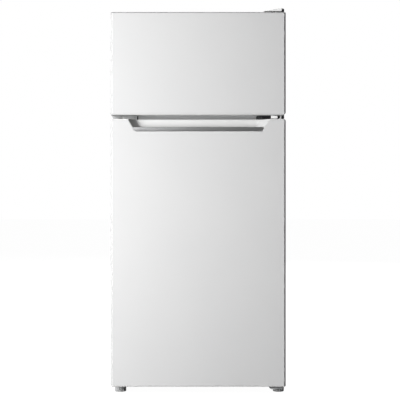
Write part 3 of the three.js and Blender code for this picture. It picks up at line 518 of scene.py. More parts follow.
def skin(z0, z1):
    """Folded door sheet: a flat front, slanted and rounded vertical edges and short flanges at the back."""
    back, t = 10.0, 1.0

    def bend(inset):
        return fillet([(0, FRONT)] + DOOR_PLAN[2:5] + [(0, -217.2)], [0, DOOR_R[2], DOOR_R[3], 0, 0], 7, inset)[1:17]
    outer, inside = bend(0.0), bend(t)
    line = [(-HALF + back, -219.0)]
    line += [(-HALF + 1.2 - 1.2 * math.sin(a), -220.2 + 1.2 * math.cos(a)) for a in [PI / 2 * k / 3 for k in range(4)]]
    line += [(-x, y) for x, y in outer[::-1]] + outer
    line += [(HALF - 1.2 + 1.2 * math.cos(a), -220.2 + 1.2 * math.sin(a)) for a in [PI / 2 * k / 3 for k in range(4)]]
    line += [(HALF - back, -219.0)]
    inner = [(-HALF + back, -220.0), (-HALF + t, -220.0)]
    inner += [(-x, y) for x, y in inside[::-1]] + inside
    inner += [(HALF - t, -220.0), (HALF - back, -220.0)]
    outline = line + inner[::-1]
    return loft([[(x, y, z0) for x, y in outline], [(x, y, z1) for x, y in outline]])


def flare(outline, rad, y, r, reach=8.0, n=8):
    """A hole through a sheet whose front face is at y, with its edge rolled over by r."""
    levels = [(y - 6.0, -r), (y, -r)] + [(y + r * math.sin(PI / 2 * k / 4), -r * math.cos(PI / 2 * k / 4)) for k in range(1, 5)]
    levels += [(y + reach, 0.0)]
    return stack("Y", outline, rad, levels, n)


def cap_plate(z0, z1, up, edge=2.2, corner=0.0):
    """Moulded end cap: a lip as wide as the door with rounded edges, and a rim that tucks into the skin."""
    e0, e1 = (0.3, edge) if up else (edge, 0.3)
    lip = prism("Z", DOOR_PLAN, DOOR_R, z0, z1, e0, e1, n=7, m=5)
    if corner:
        lo, hi = (z0 - 30, z1 + 0.01) if up else (z0 - 0.01, z1 + 30)
        rads = [0, 0, corner, corner] if up else [corner, corner, 0, 0]
        boolean(lip, prism("Y", rect(-HALF - 0.01, HALF + 0.01, lo, hi), rads, -280, -200, n=10), "INTERSECT")
    o = HALF - 1.4
    lo, hi = (z0 - 8, z0 + 0.5) if up else (z1 - 0.5, z1 + 8)
    rim = cut(prism("Z", rect(-o, o, FRONT + 1.4, -220.4), 6.1, lo, hi, n=6),
              prism("Z", rect(-o + 2, o - 2, FRONT + 3.4, -222.4), 4.1, lo - 1 if up else lo + 1.0, hi + 1 if not up else hi - 1.0, n=5))
    return join(lip, rim)


def pocket_hollow(grow=0.0, front=-6.0, lid=0.0):
    """The grip pocket: slanted ends that close in towards the back, and rounded corners all round its back wall."""
    deep = 31.0 + grow
    R = 7.0 + grow
    rings = []
    depths = [front, 0.0] + [deep - R] + [deep - R + R * math.sin(PI / 2 * k / 6) for k in range(1, 7)]
    for d in depths:
        s = max(0.0, min(d, deep)) / 31.0
        bulge = 0.0
        if d > deep - R:
            bulge = R - math.sqrt(max(R * R - (d - (deep - R)) ** 2, 0.0))
        pts = []
        for x, z in POCKET:
            share = (z - 745.5) / 35.0
            taper = (22.0 - 2.0 * min(share, 1.0)) * s
            side = 1 if x > 0 else -1
            pts.append((x - side * (taper - grow * 1.3), z if z > 750 else z - grow))
        rings.append([(u, FRONT + d, v) for u, v in fillet(pts, POCKET_R, 8, bulge)])
    hollow = loft(rings)
    return cut(hollow, sharp_box(-300, 300, -300, -200, lid, 900)) if lid else hollow


def pin_hole(z0, z1, r):
    return rod("Z", HINGE[0], HINGE[1], z0, z1, r, 0.05, 32)


# --- freezer door
LOW_CORNER = [(235.4, 790.0), (250.0, 790.0), (250.0, 801.0), (247.6, 799.2), (246.4, 796.6), (243.0, 794.0), (237.6, 792.0)]
HIGH_CORNER = [(240.6, 781.4), (243.8, 779.6), (246.3, 777.6), (247.6, 775.2), (250.0, 774.0), (250.0, 782.0)][::-1]


def corner_cut(ob, outline):
    return cut(ob, prism("Y", outline, 0, -280, -205))


sheet = corner_cut(skin(794.8, 1079.5), LOW_CORNER)
piece("freezer_door_skin_sheet", sheet, "freezer_door", DOOR, ["freezer_door_skin"])
top = cap_plate(1079.8, 1082.5, True)
cut(top, pin_hole(1060, 1090, 4.6), prism("Z", rect(-205, 180, -250, -232), 9, 1081.7, 1086, n=8))
# painted shade: the top cap takes the grey that stands in for the shade along the door's top edge
piece("freezer_door_top_cap_moulded", top, "freezer_door", TOP_CAP_PAINTED_SHADE, ["freezer_door_top_cap"])
low = cap_plate(791.5, 794.5, False, 1.1, 0.0)
join(low, prism("Z", [(-HALF + 1.4, FRONT + 1.4), (HALF - 1.4, FRONT + 1.4), (HALF - 1.4, -220.4), (HALF - 30, -220.4), (HALF - 30, FRONT + 1.4)][1:],
                [6.1, 0, 0, 0], 793.0, 803.0, n=8))
corner_cut(low, LOW_CORNER)
join(low, prism("Z", rect(-170, 170, -258, -234), 5, 792.0, 805.5, 0.2, 2.5, n=6))
cut(low, prism("Z", rect(-168, 168, -256, -236), 4, 780.0, 803.5, 0, 2.5, n=6),
    prism("Z", rect(-169.6, 169.6, -257.6, -234.4), 5, 788.0, 792.3, 0, 0.8, n=6), pin_hole(780, 811, 3.6))
# painted shade: the bottom cap takes the darker grey that stands in for its shade in the door gap
piece("freezer_door_bottom_cap_moulded", low, "freezer_door", BOTTOM_CAP_PAINTED_SHADE, ["freezer_door_bottom_cap"])

# --- fridge door
sheet = corner_cut(cut(skin(27.3, 777.2), flare(POCKET, POCKET_R, FRONT, 0.9)), HIGH_CORNER)
piece("fridge_door_skin_sheet", sheet, "fridge_door", DOOR, ["fridge_door_skin"])
top = cap_plate(777.5, 780.5, True, 1.1, 0.0)
join(top, prism("Z", [(HALF - 1.4, FRONT + 1.4), (HALF - 1.4, -220.4), (HALF - 30, -220.4), (HALF - 30, FRONT + 1.4)], [6.1, 0, 0, 0], 770.0, 779.0, n=8),
     pocket_hollow(2.4, 1.3, 779.6))
corner_cut(top, HIGH_CORNER)
cut(top, pocket_hollow(), pin_hole(760, 790, 3.6))
piece("fridge_door_top_cap_moulded", top, "fridge_door", WHITE, ["fridge_door_top_cap"])
# painted shade on the grip pocket's end walls: faces of the left and right walls take the darker painted-shade greys
top.data.materials.append(PAINTED_SHADE_LEFT)
top.data.materials.append(PAINTED_SHADE_RIGHT)
for face in top.data.polygons:
    x, y, z = face.center
    if abs(face.normal.x) > (0.45 if x < 0 else 0.15) and -0.2644 < y < -0.2295 and 0.7457 < z < 0.7803 and 0.14 < abs(x) < 0.208 and face.normal.x * x < 0:
        face.material_index = 1 if x < 0 else 2
low = cap_plate(24.0, 27.0, False)
cut(low, pin_hole(10, 44, 4.6))
piece("fridge_door_bottom_cap_moulded", low, "fridge_door", WHITE, ["fridge_door_bottom_cap"])

# --- metal strip along the lower edge of the grip pocket
front_face = [(-263.4, 746.0), (-264.35, 746.7), (-264.5, 747.6), (-264.72, 751.9), (-264.74, 754.0), (-264.66, 757.1), (-264.4, 757.5),
              (-263.8, 757.7)]
section = [(-257.0, 746.0), (-257.0, 757.7)] + front_face[::-1]
strip_bar = loft([[(x, y, z) for y, z in section[::-1]] for x in [-200 + 400 * k / 40 for k in range(41)]])
keep = stack("Y", POCKET, POCKET_R, [(-270, 0.5), (-264.9, 0.5), (-263.5, 0.5), (-250, 4.0)], 8)
boolean(strip_bar, keep, "INTERSECT")
piece("handle_strip", strip_bar, "fridge_door", LIP, ["handle_trim"], angle=24)


# --- inner panels, seals and shelves of the doors
def inner_panel(z0, height, post, low, high, reach, low_reach, ribs):
    def dykes(g, back):
        parts = []
        for s in (-1, 1):
            x0, x1 = sorted((s * (post + g), s * (post - 23 - g)))
            end = -217.2 + reach + g
            parts.append(stack("Y", rect(x0, x1, z0 + low - g, z0 + high + g), 6 + g,
                               [(back, -0.2), (-212.0, 0.0)] + [(end - d, i) for d, i in reversed(round_steps(5 + g, 5))], 6))
        for a, b in ((low, low + 20), (high - 20, high)):
            end = -217.2 + low_reach + g
            parts.append(stack("Y", rect(-post + 4, post - 4, z0 + a - g, z0 + b + g), 5 + g,
                               [(back, -0.2), (-214.0, 0.0)] + [(end - d, i) for d, i in reversed(round_steps(5 + g, 5))], 6))
        return parts
    panel = prism("Y", rect(-246.5, 246.5, z0 + 3.3, z0 + height - 3.3), 3, -218.7, -217.2, 0, 0.7, n=5)
    shell = join(panel, *dykes(0.0, -218.3))
    for z in ribs:
        join(shell, prism("Y", rect(-post + 34, post - 34, z0 + z - 5, z0 + z + 5), 4.9, -218.0, -215.6, 0, 1.6, n=6))
    cut(shell, *dykes(-1.5, -224.0))
    return shell


def seal(z0, height):
    """Bellows seal with a magnet pocket along its face and mitred corners."""
    section = [(2.2, -216.9), (0.7, -215.7), (2.6, -214.3), (0.5, -213.0), (2.4, -211.8), (0.0, -210.7), (0.0, -208.3), (0.8, -207.5),
               (4.4, -207.5), (5.0, -207.9), (11.0, -207.9), (11.6, -207.5),
               (15.2, -207.5), (16.0, -208.3), (16.0, -210.7), (13.6, -211.8), (15.5, -213.0), (13.4, -214.3), (15.3, -215.7), (13.8, -216.9)]
    return ring_sweep("Y", rect(-236, 236, z0 + 11.5, z0 + height - 11.5), 0.0, section)


def tub(x0, x1, y0, y1, z0, z1, rads, wall=2.0, foot=6.0, closing=4.0, rim=1.6, rim_tall=5.0):
    outline = rect(x0, x1, y0, y1)
    outer = stack("Z", outline, rads, [(z0 + d, closing + i) for d, i in round_steps(foot, 5)]
                  + [(z1 - rim_tall - rim, 0.35 + rim), (z1 - rim_tall, 0.0 + 0.3), (z1 - 0.7, 0.0), (z1 - 0.2, 0.2), (z1, 0.7)], 8)
    f = foot - wall * 0.6
    inner = stack("Z", outline, rads, [(z0 + wall + d, closing + wall + i) for d, i in round_steps(f, 5)]
                  + [(z1 - 0.7, wall + rim), (z1, wall + rim - 0.5), (z1 + 6, wall + rim - 0.5)], 8)
    return cut(outer, inner)


def bin_on_door(name, body, node, z0, deep, tall, half, dividers=()):
    yb = -214.9
    shape = tub(-half, half, yb, yb + deep, z0, z0 + tall, [3, 3, 16, 16], wall=2.0, foot=7.0, closing=3.0)
    for z in (z0 + tall * 0.42, z0 + tall * 0.5, z0 + tall * 0.58):
        edge = 3.0 * (1 - (z - z0) / tall)
        join(shape, rbox(-half + 30, half - 30, yb + deep - 2.0 - edge, yb + deep - 0.25 - edge * 0.9, z - 0.8, z + 0.8, 0.7, 3))
    for x in dividers:
        join(shape, rbox(x - 0.9, x + 0.9, yb + 3.0, yb + deep - 4.5, z0 + 1.0, z0 + 9.0, 0.8, 3))
    return piece(name, shape, body, CLEAR, [node])


piece("freezer_door_inner_panel", inner_panel(791.5, 292.0, 192, 42, 237, 44, 18, (170, 200)), "freezer_door", LINER,
      ["freezer_door_liner"])
piece("freezer_door_seal", seal(791.5, 292.0), "freezer_door", GASKET, ["freezer_door_gasket"], angle=20)
bin_on_door("freezer_door_bin", "freezer_door", "freezer_door_shelf", 863.5, 52, 50, 168, (-84, 0, 84))
piece("fridge_door_inner_panel", inner_panel(24.0, 756.5, 195, 46, 686, 46, 18, (210, 240, 480, 510)), "fridge_door", LINER,
      ["fridge_door_liner"])
piece("fridge_door_seal", seal(24.0, 756.5), "fridge_door", GASKET, ["fridge_door_gasket"], angle=20)
bin_on_door("fridge_door_bin_upper", "fridge_door", "door_shelf_upper", 584.0, 70, 52, 171, (-57, 57))
bin_on_door("fridge_door_bin_middle", "fridge_door", "door_shelf_middle", 364.0, 80, 56, 171, (-57, 57))
bin_on_door("fridge_door_bin_lower", "fridge_door", "door_shelf_lower", 98.0, 87.4, 78, 171, (-85, 0, 85))

# ------------------------------------------------------------------ cabinet
CASE_X, CASE_TOP = 246.5, 1081.5
case = prism("Y", [(-CASE_X, 24.0), (CASE_X, 24.0), (CASE_X, CASE_TOP), (-CASE_X, CASE_TOP)], [0, 0, 7, 7], -207.0, 263.5, 1.6, 0.0, n=10, m=5)
cut(case, prism("Y", [(-CASE_X + 1.2, 5.0), (CASE_X - 1.2, 5.0), (CASE_X - 1.2, CASE_TOP - 1.2), (-CASE_X + 1.2, CASE_TOP - 1.2)],
                [0, 0, 5.8, 5.8], -205.8, 300.0, 0.6, 0.0, n=10, m=3),
    stack("Y", rect(-219, 219, 52, 1054), 3, [(-212, -0.8), (-207, -0.8), (-206.7, -0.3), (-206.2, 0.0), (-200, 0.0)], 5),
    rod("Z", 227, -150, 1070, 1090, 2.8, 0.05))
join(case, ring_sweep("Y", rect(-219, 219, 52, 1054), 3, [(-0.05, -206.1), (-0.05, -196.0), (-1.0, -196.0), (-1.0, -206.1)], 5))
piece("outer_case_wrap", case, "cabinet", CASE, ["outer_case"])

panel = prism("Y", rect(-CASE_X, CASE_X, 213.0, CASE_TOP), [0.5, 0.5, 7, 7], 263.8, 265.0, 0.0, 0.4, n=8, m=2)
for k in range(9):
    z = 268 + k * 96
    cut(panel, prism("Y", rect(-195, 195, z - 7, z + 7), 6.9, 264.35, 266.0, 0.3, 0, n=8, m=3, draft=1.6))
for x, z in [(-238, 230), (238, 230), (-238, 440), (238, 440), (-238, 650), (238, 650), (-238, 860), (238, 860), (-150, 1073), (150, 1073),
             (0, 1073), (-150, 222), (150, 222), (0, 222)]:
    cut(panel, turned([(0, 264.35), (3.4, 264.35), (4.4, 265.4), (0, 265.4)], 24, "Y", (x, 0, z)))
piece("rear_panel", panel, "cabinet", GALVANISED, ["back_panel"])
heads = []
for x, z in [(-238, 230), (238, 230), (-238, 440), (238, 440), (-238, 650), (238, 650), (-238, 860), (238, 860), (-150, 1073), (150, 1073),
             (0, 1073), (-150, 222), (150, 222), (0, 222)]:
    head = turned([(0, 263.9), (1.6, 263.9), (1.6, 264.4), (3.2, 264.4), (2.9, 264.85), (0, 264.98)], 24, "Y", (x, 0, z))
    cut(head, rbox(x - 1.9, x + 1.9, 264.55, 266, z - 0.35, z + 0.35, 0.1, 1), rbox(x - 0.35, x + 0.35, 264.55, 266, z - 1.9, z + 1.9, 0.1, 1))
    heads.append(head)
piece("rear_panel_screws", heap(*heads), "cabinet", ZINC)

base = strip([(-204.9, 24.0), (135.2, 24.0), (135.2, 214.0), (256.5, 214.0)], 1.2, 2.0)
base = loft([[(x, y, z) for y, z in base] for x in (-245.0, 245.0)])
for x in (-224.0, 231.0):
    cut(base, rod("Z", x, -190, 20, 30, 4.5, 0.05))
cut(base, rod("Z", 215, -165, 20, 30, 2.8, 0.05))
for z in (70, 120, 170):
    cut(base, prism("Y", rect(-225, 225, z - 6, z + 6), 5.9, 134.75, 137.0, 0.3, 0, n=6, m=3, draft=1.2))
piece("underside_pan", base, "cabinet", GALVANISED, ["base_panel"])

rail = strip([(-195.0, 821.0), (-207.0, 821.0), (-207.0, 751.0), (-195.0, 751.0)], 1.2, 1.4)
rail = loft([[(x, y, z) for y, z in rail] for x in (-218.7, 218.7)])
# painted light: the rail's left end is cut off and given the lighter liner plastic, which stands in for the light on
# that end of the door gap
rail_end_painted_light = boolean(heap_copy(rail), sharp_box(-225, -174.4, -220, -180, 740, 830), "INTERSECT")
cut(rail, sharp_box(-225, -174.2, -220, -180, 740, 830))
piece("mullion_face", rail, "cabinet", RAIL, ["mullion_rail"])
piece("mullion_face_end_painted_light", rail_end_painted_light, "cabinet", LINER, ["mullion_rail"])
seam = rbox(-175.9, -172.7, -208.3, -207.1, 752.0, 820.0, 0.5, 3)
piece("mullion_joint_strip", cut(seam, *[rbox(-177, -171, -209.2, -208.1, z - 0.5, z + 0.5, 0.3, 2) for z in (764, 775, 797, 808)]), "cabinet", BLACK)
# painted shade: a grey pad in front of the case flange at the door gap's left end stands in for the shade there
painted_shade_pad = prism("Y", rect(-245.5, -219.1, 770.0, 802.0), 3.0, -208.6, -207.1, 0.7, 0, n=5, m=3)
piece("mullion_corner_pad_painted_shade", cut(painted_shade_pad, prism("Y", rect(-238, -228, 794.0, 797.0), 1.4, -210, -207.9, n=5), prism("Y", rect(-238, -228, 775.0, 778.0), 1.4, -210, -207.9, n=5)),
      "cabinet", GREY)


# --- liners
def mouth(outline, rad, lip, grow=0.0):
    """The flared entrance of a compartment."""
    levels = [(-240.0, -lip - grow), (-206.7, -lip - grow)]
    levels += [(-206.7 + (lip + grow) * math.sin(PI / 2 * k / 5), -(lip + grow) * math.cos(PI / 2 * k / 5) - grow * 0.0 + 0.04 * (k == 5))
               for k in range(1, 6)]
    levels += [(-206.7 + lip + grow + 6.0, 0.04)]
    return stack("Y", outline, rad, levels, 8)


def lath(x0, x1, y0, y1, z0, z1, r=2.4):
    return rbox(x0, x1, y0, y1, z0, z1, r, 4)


room = rect(-200, 200, 828, 1034)
liner = prism("Y", rect(-201.5, 201.5, 826.5, 1035.5), 15.5, -206.0, 206.5, 0, 15.5, n=8, m=6)
join(liner, prism("Y", rect(-218.7, 218.7, 821.3, 1053.7), 2.5, -206.7, -205.2, 0.4, 0, n=5, m=2),
     stack("Y", room, 14, [(-206.0, -5.5), (-204.0, -5.0), (-201.0, -2.5), (-199.0, -1.55)], 8))
cut(liner, prism("Y", room, 14, -260.0, 205.0, 0, 14, n=8, m=6), mouth(room, 14, 1.7))
for s in (-1, 1):
    x0, x1 = sorted((s * 200.7, s * 194.0))
    join(liner, lath(x0, x1, -140, 190, 922.0, 929.7))
for x in range(-150, 151, 50):
    join(liner, lath(x - 2.0, x + 2.0, 203.8, 205.6, 842.0, 1020.0, 1.0))
piece("freezer_liner_formed", liner, "cabinet", LINER, ["freezer_liner"])

side_view = [(-260, 66), (92, 66), (92, 252), (218, 252), (218, 744), (-260, 744)]
bends = [0, 14, 4, 14, 14, 0]


def fridge_room(grow):
    levels = [(-203 - grow + d, -grow + i) for d, i in round_steps(12 + grow, 6)]
    levels += [(203 + grow - d, -grow + i) for d, i in reversed(round_steps(12 + grow, 6))]
    return loft([[(a, y, z) for y, z in fillet(side_view, bends, 8, i)] for a, i in levels])


liner = cut(fridge_room(1.5), sharp_box(-300, 300, -300, -206.0, 0, 1200))
opening = rect(-203, 203, 66, 744)
join(liner, prism("Y", rect(-218.7, 218.7, 52.3, 750.7), 2.5, -206.7, -205.2, 0.4, 0, n=5, m=2),
     stack("Y", opening, 12, [(-206.0, -5.5), (-204.0, -5.0), (-201.0, -2.5), (-199.0, -1.55)], 8))
cut(liner, fridge_room(0.0), mouth(opening, 12, 1.7))
for s in (-1, 1):
    x0, x1 = sorted((s * 203.7, s * 196.0))
    for z in (340, 420, 500, 580, 660):
        join(liner, lath(x0, x1, -110, 200, z - 8.0, z - 0.3))
    join(liner, lath(x0, x1, -106, 92.5, 244.0, 252.0))
for k in range(-6, 7):
    join(liner, lath(k * 25 - 1.5, k * 25 + 1.5, 216.9, 218.8, 290.0, 722.0, 0.9))
join(liner, rbox(-70, 70, 210.5, 218.7, 262, 274, 3.0, 4))
cut(liner, rbox(-66, 66, 212.5, 217.2, 266, 280, 2.0, 4), rod("Z", 0, 214.8, 255, 270, 2.2, 0.05))
piece("fridge_liner_formed", liner, "cabinet", LINER, ["fridge_liner"])


# --- fasteners
def hex_screw(x, y, z, r=5.5, up=1.0, tall=3.0, length=14.0, shaft=2.2):
    """Flanged hexagon screw with a cross recess, its seat at z."""
    s = up
    flange = turned([(0, z), (r, z), (r, z + s * 0.5), (r * 0.72, z + s * 1.0), (0, z + s * 1.0)] if s > 0 else
                    [(0, z - 1.0), (r * 0.72, z - 1.0), (r, z - 0.5), (r, z), (0, z)], 32, "Z", (x, y, 0))
    hexagon = [(x + r * 0.68 * math.cos(PI / 3 * k), y + r * 0.68 * math.sin(PI / 3 * k)) for k in range(6)]
    a, b = sorted((z + s * 0.7, z + s * tall))
    head = prism("Z", hexagon, 0.3, a, b, 0.0 if s > 0 else 0.5, 0.5 if s > 0 else 0.0, n=2, m=2)
    join(flange, head)
    a, b = sorted((z + s * (tall - 1.1), z + s * (tall + 1)))
    cut(flange, rbox(x - r * 0.4, x + r * 0.4, y - 0.4, y + 0.4, a, b, 0.15, 2), rbox(x - 0.4, x + 0.4, y - r * 0.4, y + r * 0.4, a, b, 0.15, 2))
    a, b = sorted((z + s * 0.2, z - s * length))
    steps = []
    k = 0
    while a + k * 0.55 < b:
        steps.append((shaft - (0.32 if k % 2 else 0.0), a + k * 0.55))
        k += 1
    join(flange, turned([(0, a)] + steps + [(shaft - 0.3, b), (0, b)], 20, "Z", (x, y, 0)))
    return flange


# --- hinges
plate = strip([(-250.5, 1085.0), (-206.0, 1085.0), (-200.0, 1081.8), (-110.0, 1081.8)], 3.0, 2.0)
plate = loft([[(x, y, z) for y, z in plate] for x in (214.0, 239.6)])
boolean(plate, prism("Z", rect(214.0, 239.6, -250.5, -110.0), [7, 7, 6, 6], 1075, 1095, n=8), "INTERSECT")
cut(plate, rod("Z", HINGE[0], HINGE[1], 1080, 1092, 4.3, 0.05, 32), rod("Z", 227, -150, 1078, 1090, 2.8, 0.05, 24),
    rod("Z", 227, -125, 1078, 1090, 2.8, 0.05, 24), rod("Z", 227, -178, 1078, 1090, 2.8, 0.05, 24))
piece("top_hinge_plate", plate, "cabinet", PAINT, ["top_hinge_bracket"])
piece("top_hinge_pin_turned", turned([(0, 1071), (2.9, 1071), (3.6, 1071.7), (4, 1073), (4, 1088.4), (5.6, 1088.4), (6, 1088.9), (6, 1089.7),
                                      (5.2, 1090.3), (0, 1090.3)], 40, "Z", (*HINGE, 0)), "cabinet", ZINC, ["top_hinge_pin"])
piece("top_hinge_screw_hex", hex_screw(227, -150, 1084.9, 5.4, 1.0, 3.2, 20, 2.4), "cabinet", ZINC, ["top_hinge_screw"])
piece("top_hinge_screws_more", heap(hex_screw(227, -125, 1084.9, 5.0, 1.0, 3.0, 2.6, 2.2), hex_screw(227, -178, 1084.9, 5.0, 1.0, 3.0, 2.6, 2.2)),
      "cabinet", ZINC)

def lid_outline(low, top, g):
    """The hinge lid across the door: a long low ramp that rounds over into its right end."""
    k = (top - low) / (1100.0 - 1084.9)
    low += 1.6
    pts = [(185.6 + 1.6 * g, low - 8 * g), (243.6 - g, low - 8 * g), (243.6 - g, top - g), (229.5, top - g), (213.5, low + 8.2 * k - g),
           (199, low + 4.0 * k - g), (187.0 + 1.6 * g, low + 1.2 * k - g * 0.8)]
    return fillet(pts, [0.3, 0.3, 4.0 - g, 22, 30, 30, 0.8], 8)


tops = [(-253.0, 1092.4), (-252.2, 1093.5), (-250.6, 1094.3), (-247, 1095.2), (-240, 1096.5), (-230, 1098.1), (-221, 1099.3), (-213, 1099.9),
        (-205, 1100.0), (-99, 1100.0), (-96.4, 1099.2), (-95.2, 1097.6), (-95, 1096.5)]
cover = loft([[(u, y, v) for u, v in lid_outline(1084.9, top, 0.0)] for y, top in tops])
shell = [(-251.2, 1092.2)] + [(y, min(top, 1099.6)) for y, top in tops[4:9]] + [(-97.0, 1099.0)]
join(cover, prism("Y", rect(186.2, 241.8, 1081.8, 1086.6), 0.4, -203.0, -95.2, 0.3, 0.3, n=3, m=2))
cut(cover, loft([[(u, y, v) for u, v in lid_outline(1084.9, top, 1.6)] for y, top in shell]))
for y in (-180, -172, -164):
    cut(cover, rbox(219, 237, y - 1.3, y + 1.3, 1099.3, 1103, 0.6, 3))
# painted shade: the white lid's right end is cut off and made black, standing in for the shade on that end of the lid
end = boolean(heap_copy(cover), sharp_box(236.5, 250, -300, -50, 1070, 1110), "INTERSECT")
cut(cover, sharp_box(236.3, 250, -300, -50, 1070, 1110))
piece("top_hinge_lid", cover, "cabinet", LID, ["top_hinge_cover"])
piece("top_hinge_lid_end_painted_shade", end, "cabinet", BLACK, ["top_hinge_cover"])

arm = [(172, -211.0), (172, -207.4)]
flange = prism("Y", rect(172, 226, 777, 795), 3.0, -210.4, -207.4, 0.4, 0, n=5, m=3)
tongue = prism("Z", [(210, -208), (210, -240.6), (222, -248.9), (236.5, -248.4), (239.0, -243), (236.5, -237.6), (226, -231), (226, -208)][::-1],
               [0, 3, 4, 3, 3, 3, 5, 0][::-1], 784.2, 787.8, 0.5, 0.5, n=5, m=3)
ears = [prism("Y", [(224.4, 782.2), (228.8, 782.2), (231.6, 790.3), (227.0, 790.3)], 0.5, -249.2, -236.0, 0.4, 0.4, n=4, m=3),
        prism("Y", rect(235.1, 243.8, 782.3, 790.2), [1.2, 2.6, 2.6, 1.2], -249.2, -236.0, 0.5, 0.5, n=6, m=3)]
hinge = cut(join(flange, tongue, *ears), rod("Z", HINGE[0], HINGE[1], 780, 792, 5.6, 0.05, 32), sharp_box(231.4, 235.2, -251, -243, 780, 792))
piece("middle_hinge_arm", hinge, "cabinet", PAINT, ["middle_hinge_bracket"])
pin = turned([(0, 771), (2.4, 771), (3, 772.2), (3, 783.4), (3, 788.2), (3, 799.6), (2.4, 801), (0, 801)], 40, "Z", (*HINGE, 0))
piece("middle_hinge_pin_turned", pin, "cabinet", ZINC, ["middle_hinge_pin"])
sleeve = turned([(3.15, 781.0), (5.1, 781.0), (5.4, 781.3), (5.4, 790.9), (5.1, 791.2), (3.15, 791.2), (3.15, 781.0)], 40, "Z", (*HINGE, 0))
piece("middle_hinge_bush", sleeve, "cabinet", LID)
cover = cut(rbox(206.2, 225.0, -254, -211, 782.4, 790.8, 1.1, 4),
            prism("Z", [(209.7, -200), (209.7, -241.0), (221.9, -249.4), (230, -249.4), (230, -200)][::-1], 0, 783.9, 788.1))
piece("middle_hinge_sleeve", cover, "cabinet", LID, ["middle_hinge_cover"])
stop = rbox(165.4, 205.8, -245.2, -211, 782.2, 790.6, 1.0, 4)
ribs = []
for x in (172.3, 179.2):
    ribs.append(rbox(x - 1.2, x + 1.2, -246.4, -245.3, 782.8, 790.0, 0.5, 4))
cut(stop, rbox(184, 202, -250, -240, 784.2, 788.2, 0.8, 3), prism("Y", [(200, 782.0), (200, 780), (209, 780), (209, 785.2)][::1], 0, -250, -200))
piece("middle_hinge_stop", stop, "cabinet", BLACK, ["middle_hinge_block"])
# painted highlight: the stop's ribs take the lighter near-black that stands in for their glints
piece("middle_hinge_stop_ribs_painted_highlight", heap(*ribs), "cabinet", RIB_PAINTED_HIGHLIGHT)

under = prism("Z", rect(202, 243, -255, -150), [9, 6, 4, 4], 17.5, 20.5, 0.5, 0.5, n=6, m=3)
join(under, prism("Z", rect(202, 243, -203, -150), 2, 19.0, 23.7, 0, 0.2, n=4, m=2),
     prism("Y", rect(203.4, 219.4, 15.4, 20.0), [4.0, 4.0, 0, 0], -255, -252, 0.4, 0.4, n=8, m=3))
cut(under, rod("Z", HINGE[0], HINGE[1], 10, 30, 4.3, 0.05, 32), rod("Z", 215, -165, 10, 30, 2.8, 0.05, 24), rod("Z", 231, -190, 10, 30, 4.5, 0.05, 32))
piece("bottom_hinge_plate", under, "cabinet", DULL, ["bottom_hinge_bracket"])
piece("bottom_hinge_pin_turned", turned([(0, 15), (5.4, 15), (6, 15.6), (6, 17.2), (4, 17.2), (4, 37), (3.6, 38.4), (3, 39), (0, 39)], 40, "Z",
                                        (*HINGE, 0)), "cabinet", ZINC, ["bottom_hinge_pin"])
piece("bottom_hinge_screw_hex", hex_screw(215, -165, 17.2, 5.4, -1.0, 3.0, 14, 2.4), "cabinet", ZINC, ["bottom_hinge_screw"])


# --- feet and rollers
def foot(x, top):
    ribs = 14

    def wave(r, a, t):
        if r < 12 or a < 1.6 or a > top - 2.6:
            return 0.0
        return -1.5 * (1 - abs(math.cos(ribs * t / 2)) ** 1.3)
    pts = [(0, 0), (13.6, 0), (14.8, 0.3), (15.4, 1.0), (15.5, 1.5), (15.95, 1.9), (15.95, top - 2.8), (15.4, top - 2.4), (15.2, top - 1.0), (14.4, top - 0.2),
           (13.6, top), (6.5, top), (6.2, top - 0.1)]
    thread = []
    a = top
    k = 0
    while a < 38.6:
        thread.append((4.0 if k % 2 else 3.45, a))
        a += 0.62
        k += 1
    return turned(pts + thread + [(3.2, 39.4), (2.6, 40), (0, 40)], ribs * 14, "Z", (x, -190, 0), wave=wave)


piece("levelling_foot_left", foot(-224, 17.0), "left_foot", GREY, ["front_left_foot"], angle=50)
piece("levelling_foot_right", foot(231, 14.0), "right_foot", GREY, ["front_right_foot"], angle=50)
for name, x, body, node in (("rear_roller_left", -215, "left_roller", "rear_left_roller"), ("rear_roller_right", 215, "right_roller", "rear_right_roller")):
    wheel = turned([(0, -11.5), (2.6, -11.5), (3, -11.1), (3, -7.6), (5.2, -7.4), (5.2, -5.6), (9.0, -5.2), (9.6, -7.0), (11.2, -7.0), (12, -6.2),
                    (12, -1.2), (11.7, -0.8), (11.7, 0.8), (12, 1.2), (12, 6.2),
                    (11.2, 7.0), (9.6, 7.0), (9.0, 5.2), (5.2, 5.6), (5.2, 7.4), (3, 7.6), (3, 11.1), (2.6, 11.5), (0, 11.5)], 56, "X", (x, 215, 12))
    piece(name, wheel, body, ROLLER, [node])

# ------------------------------------------------------------------ machine bay
tray = strip([(141.5 - 1.5, 38.0), (140.0, 24.5), (262.0, 24.5), (262.0, 38.0)], 1.5, 1.8)
tray = loft([[(x, y, z) for y, z in tray] for x in (-244.8, 244.8)])
for s in (-1, 1):
    for o in (-9, 9):
        x = s * 215 + o
        ear = prism("X", [(206, 6), (224, 6), (224, 25), (206, 25)], [7, 7, 0, 0], x - 0.75, x + 0.75, 0.2, 0.2, n=8, m=2)
        join(tray, ear)
for s in (-1, 1):
    cut(tray, rod("X", 215, 12, s * 215 - 14, s * 215 + 14, 3.3, 0.05, 32))
for x in (-180, -90, 0, 200):
    cut(tray, prism("Z", rect(x - 12, x + 12, 190, 200), 4.9, 20, 30, n=8))
piece("compressor_base", tray, "cabinet", GALVANISED, ["compressor_tray"])

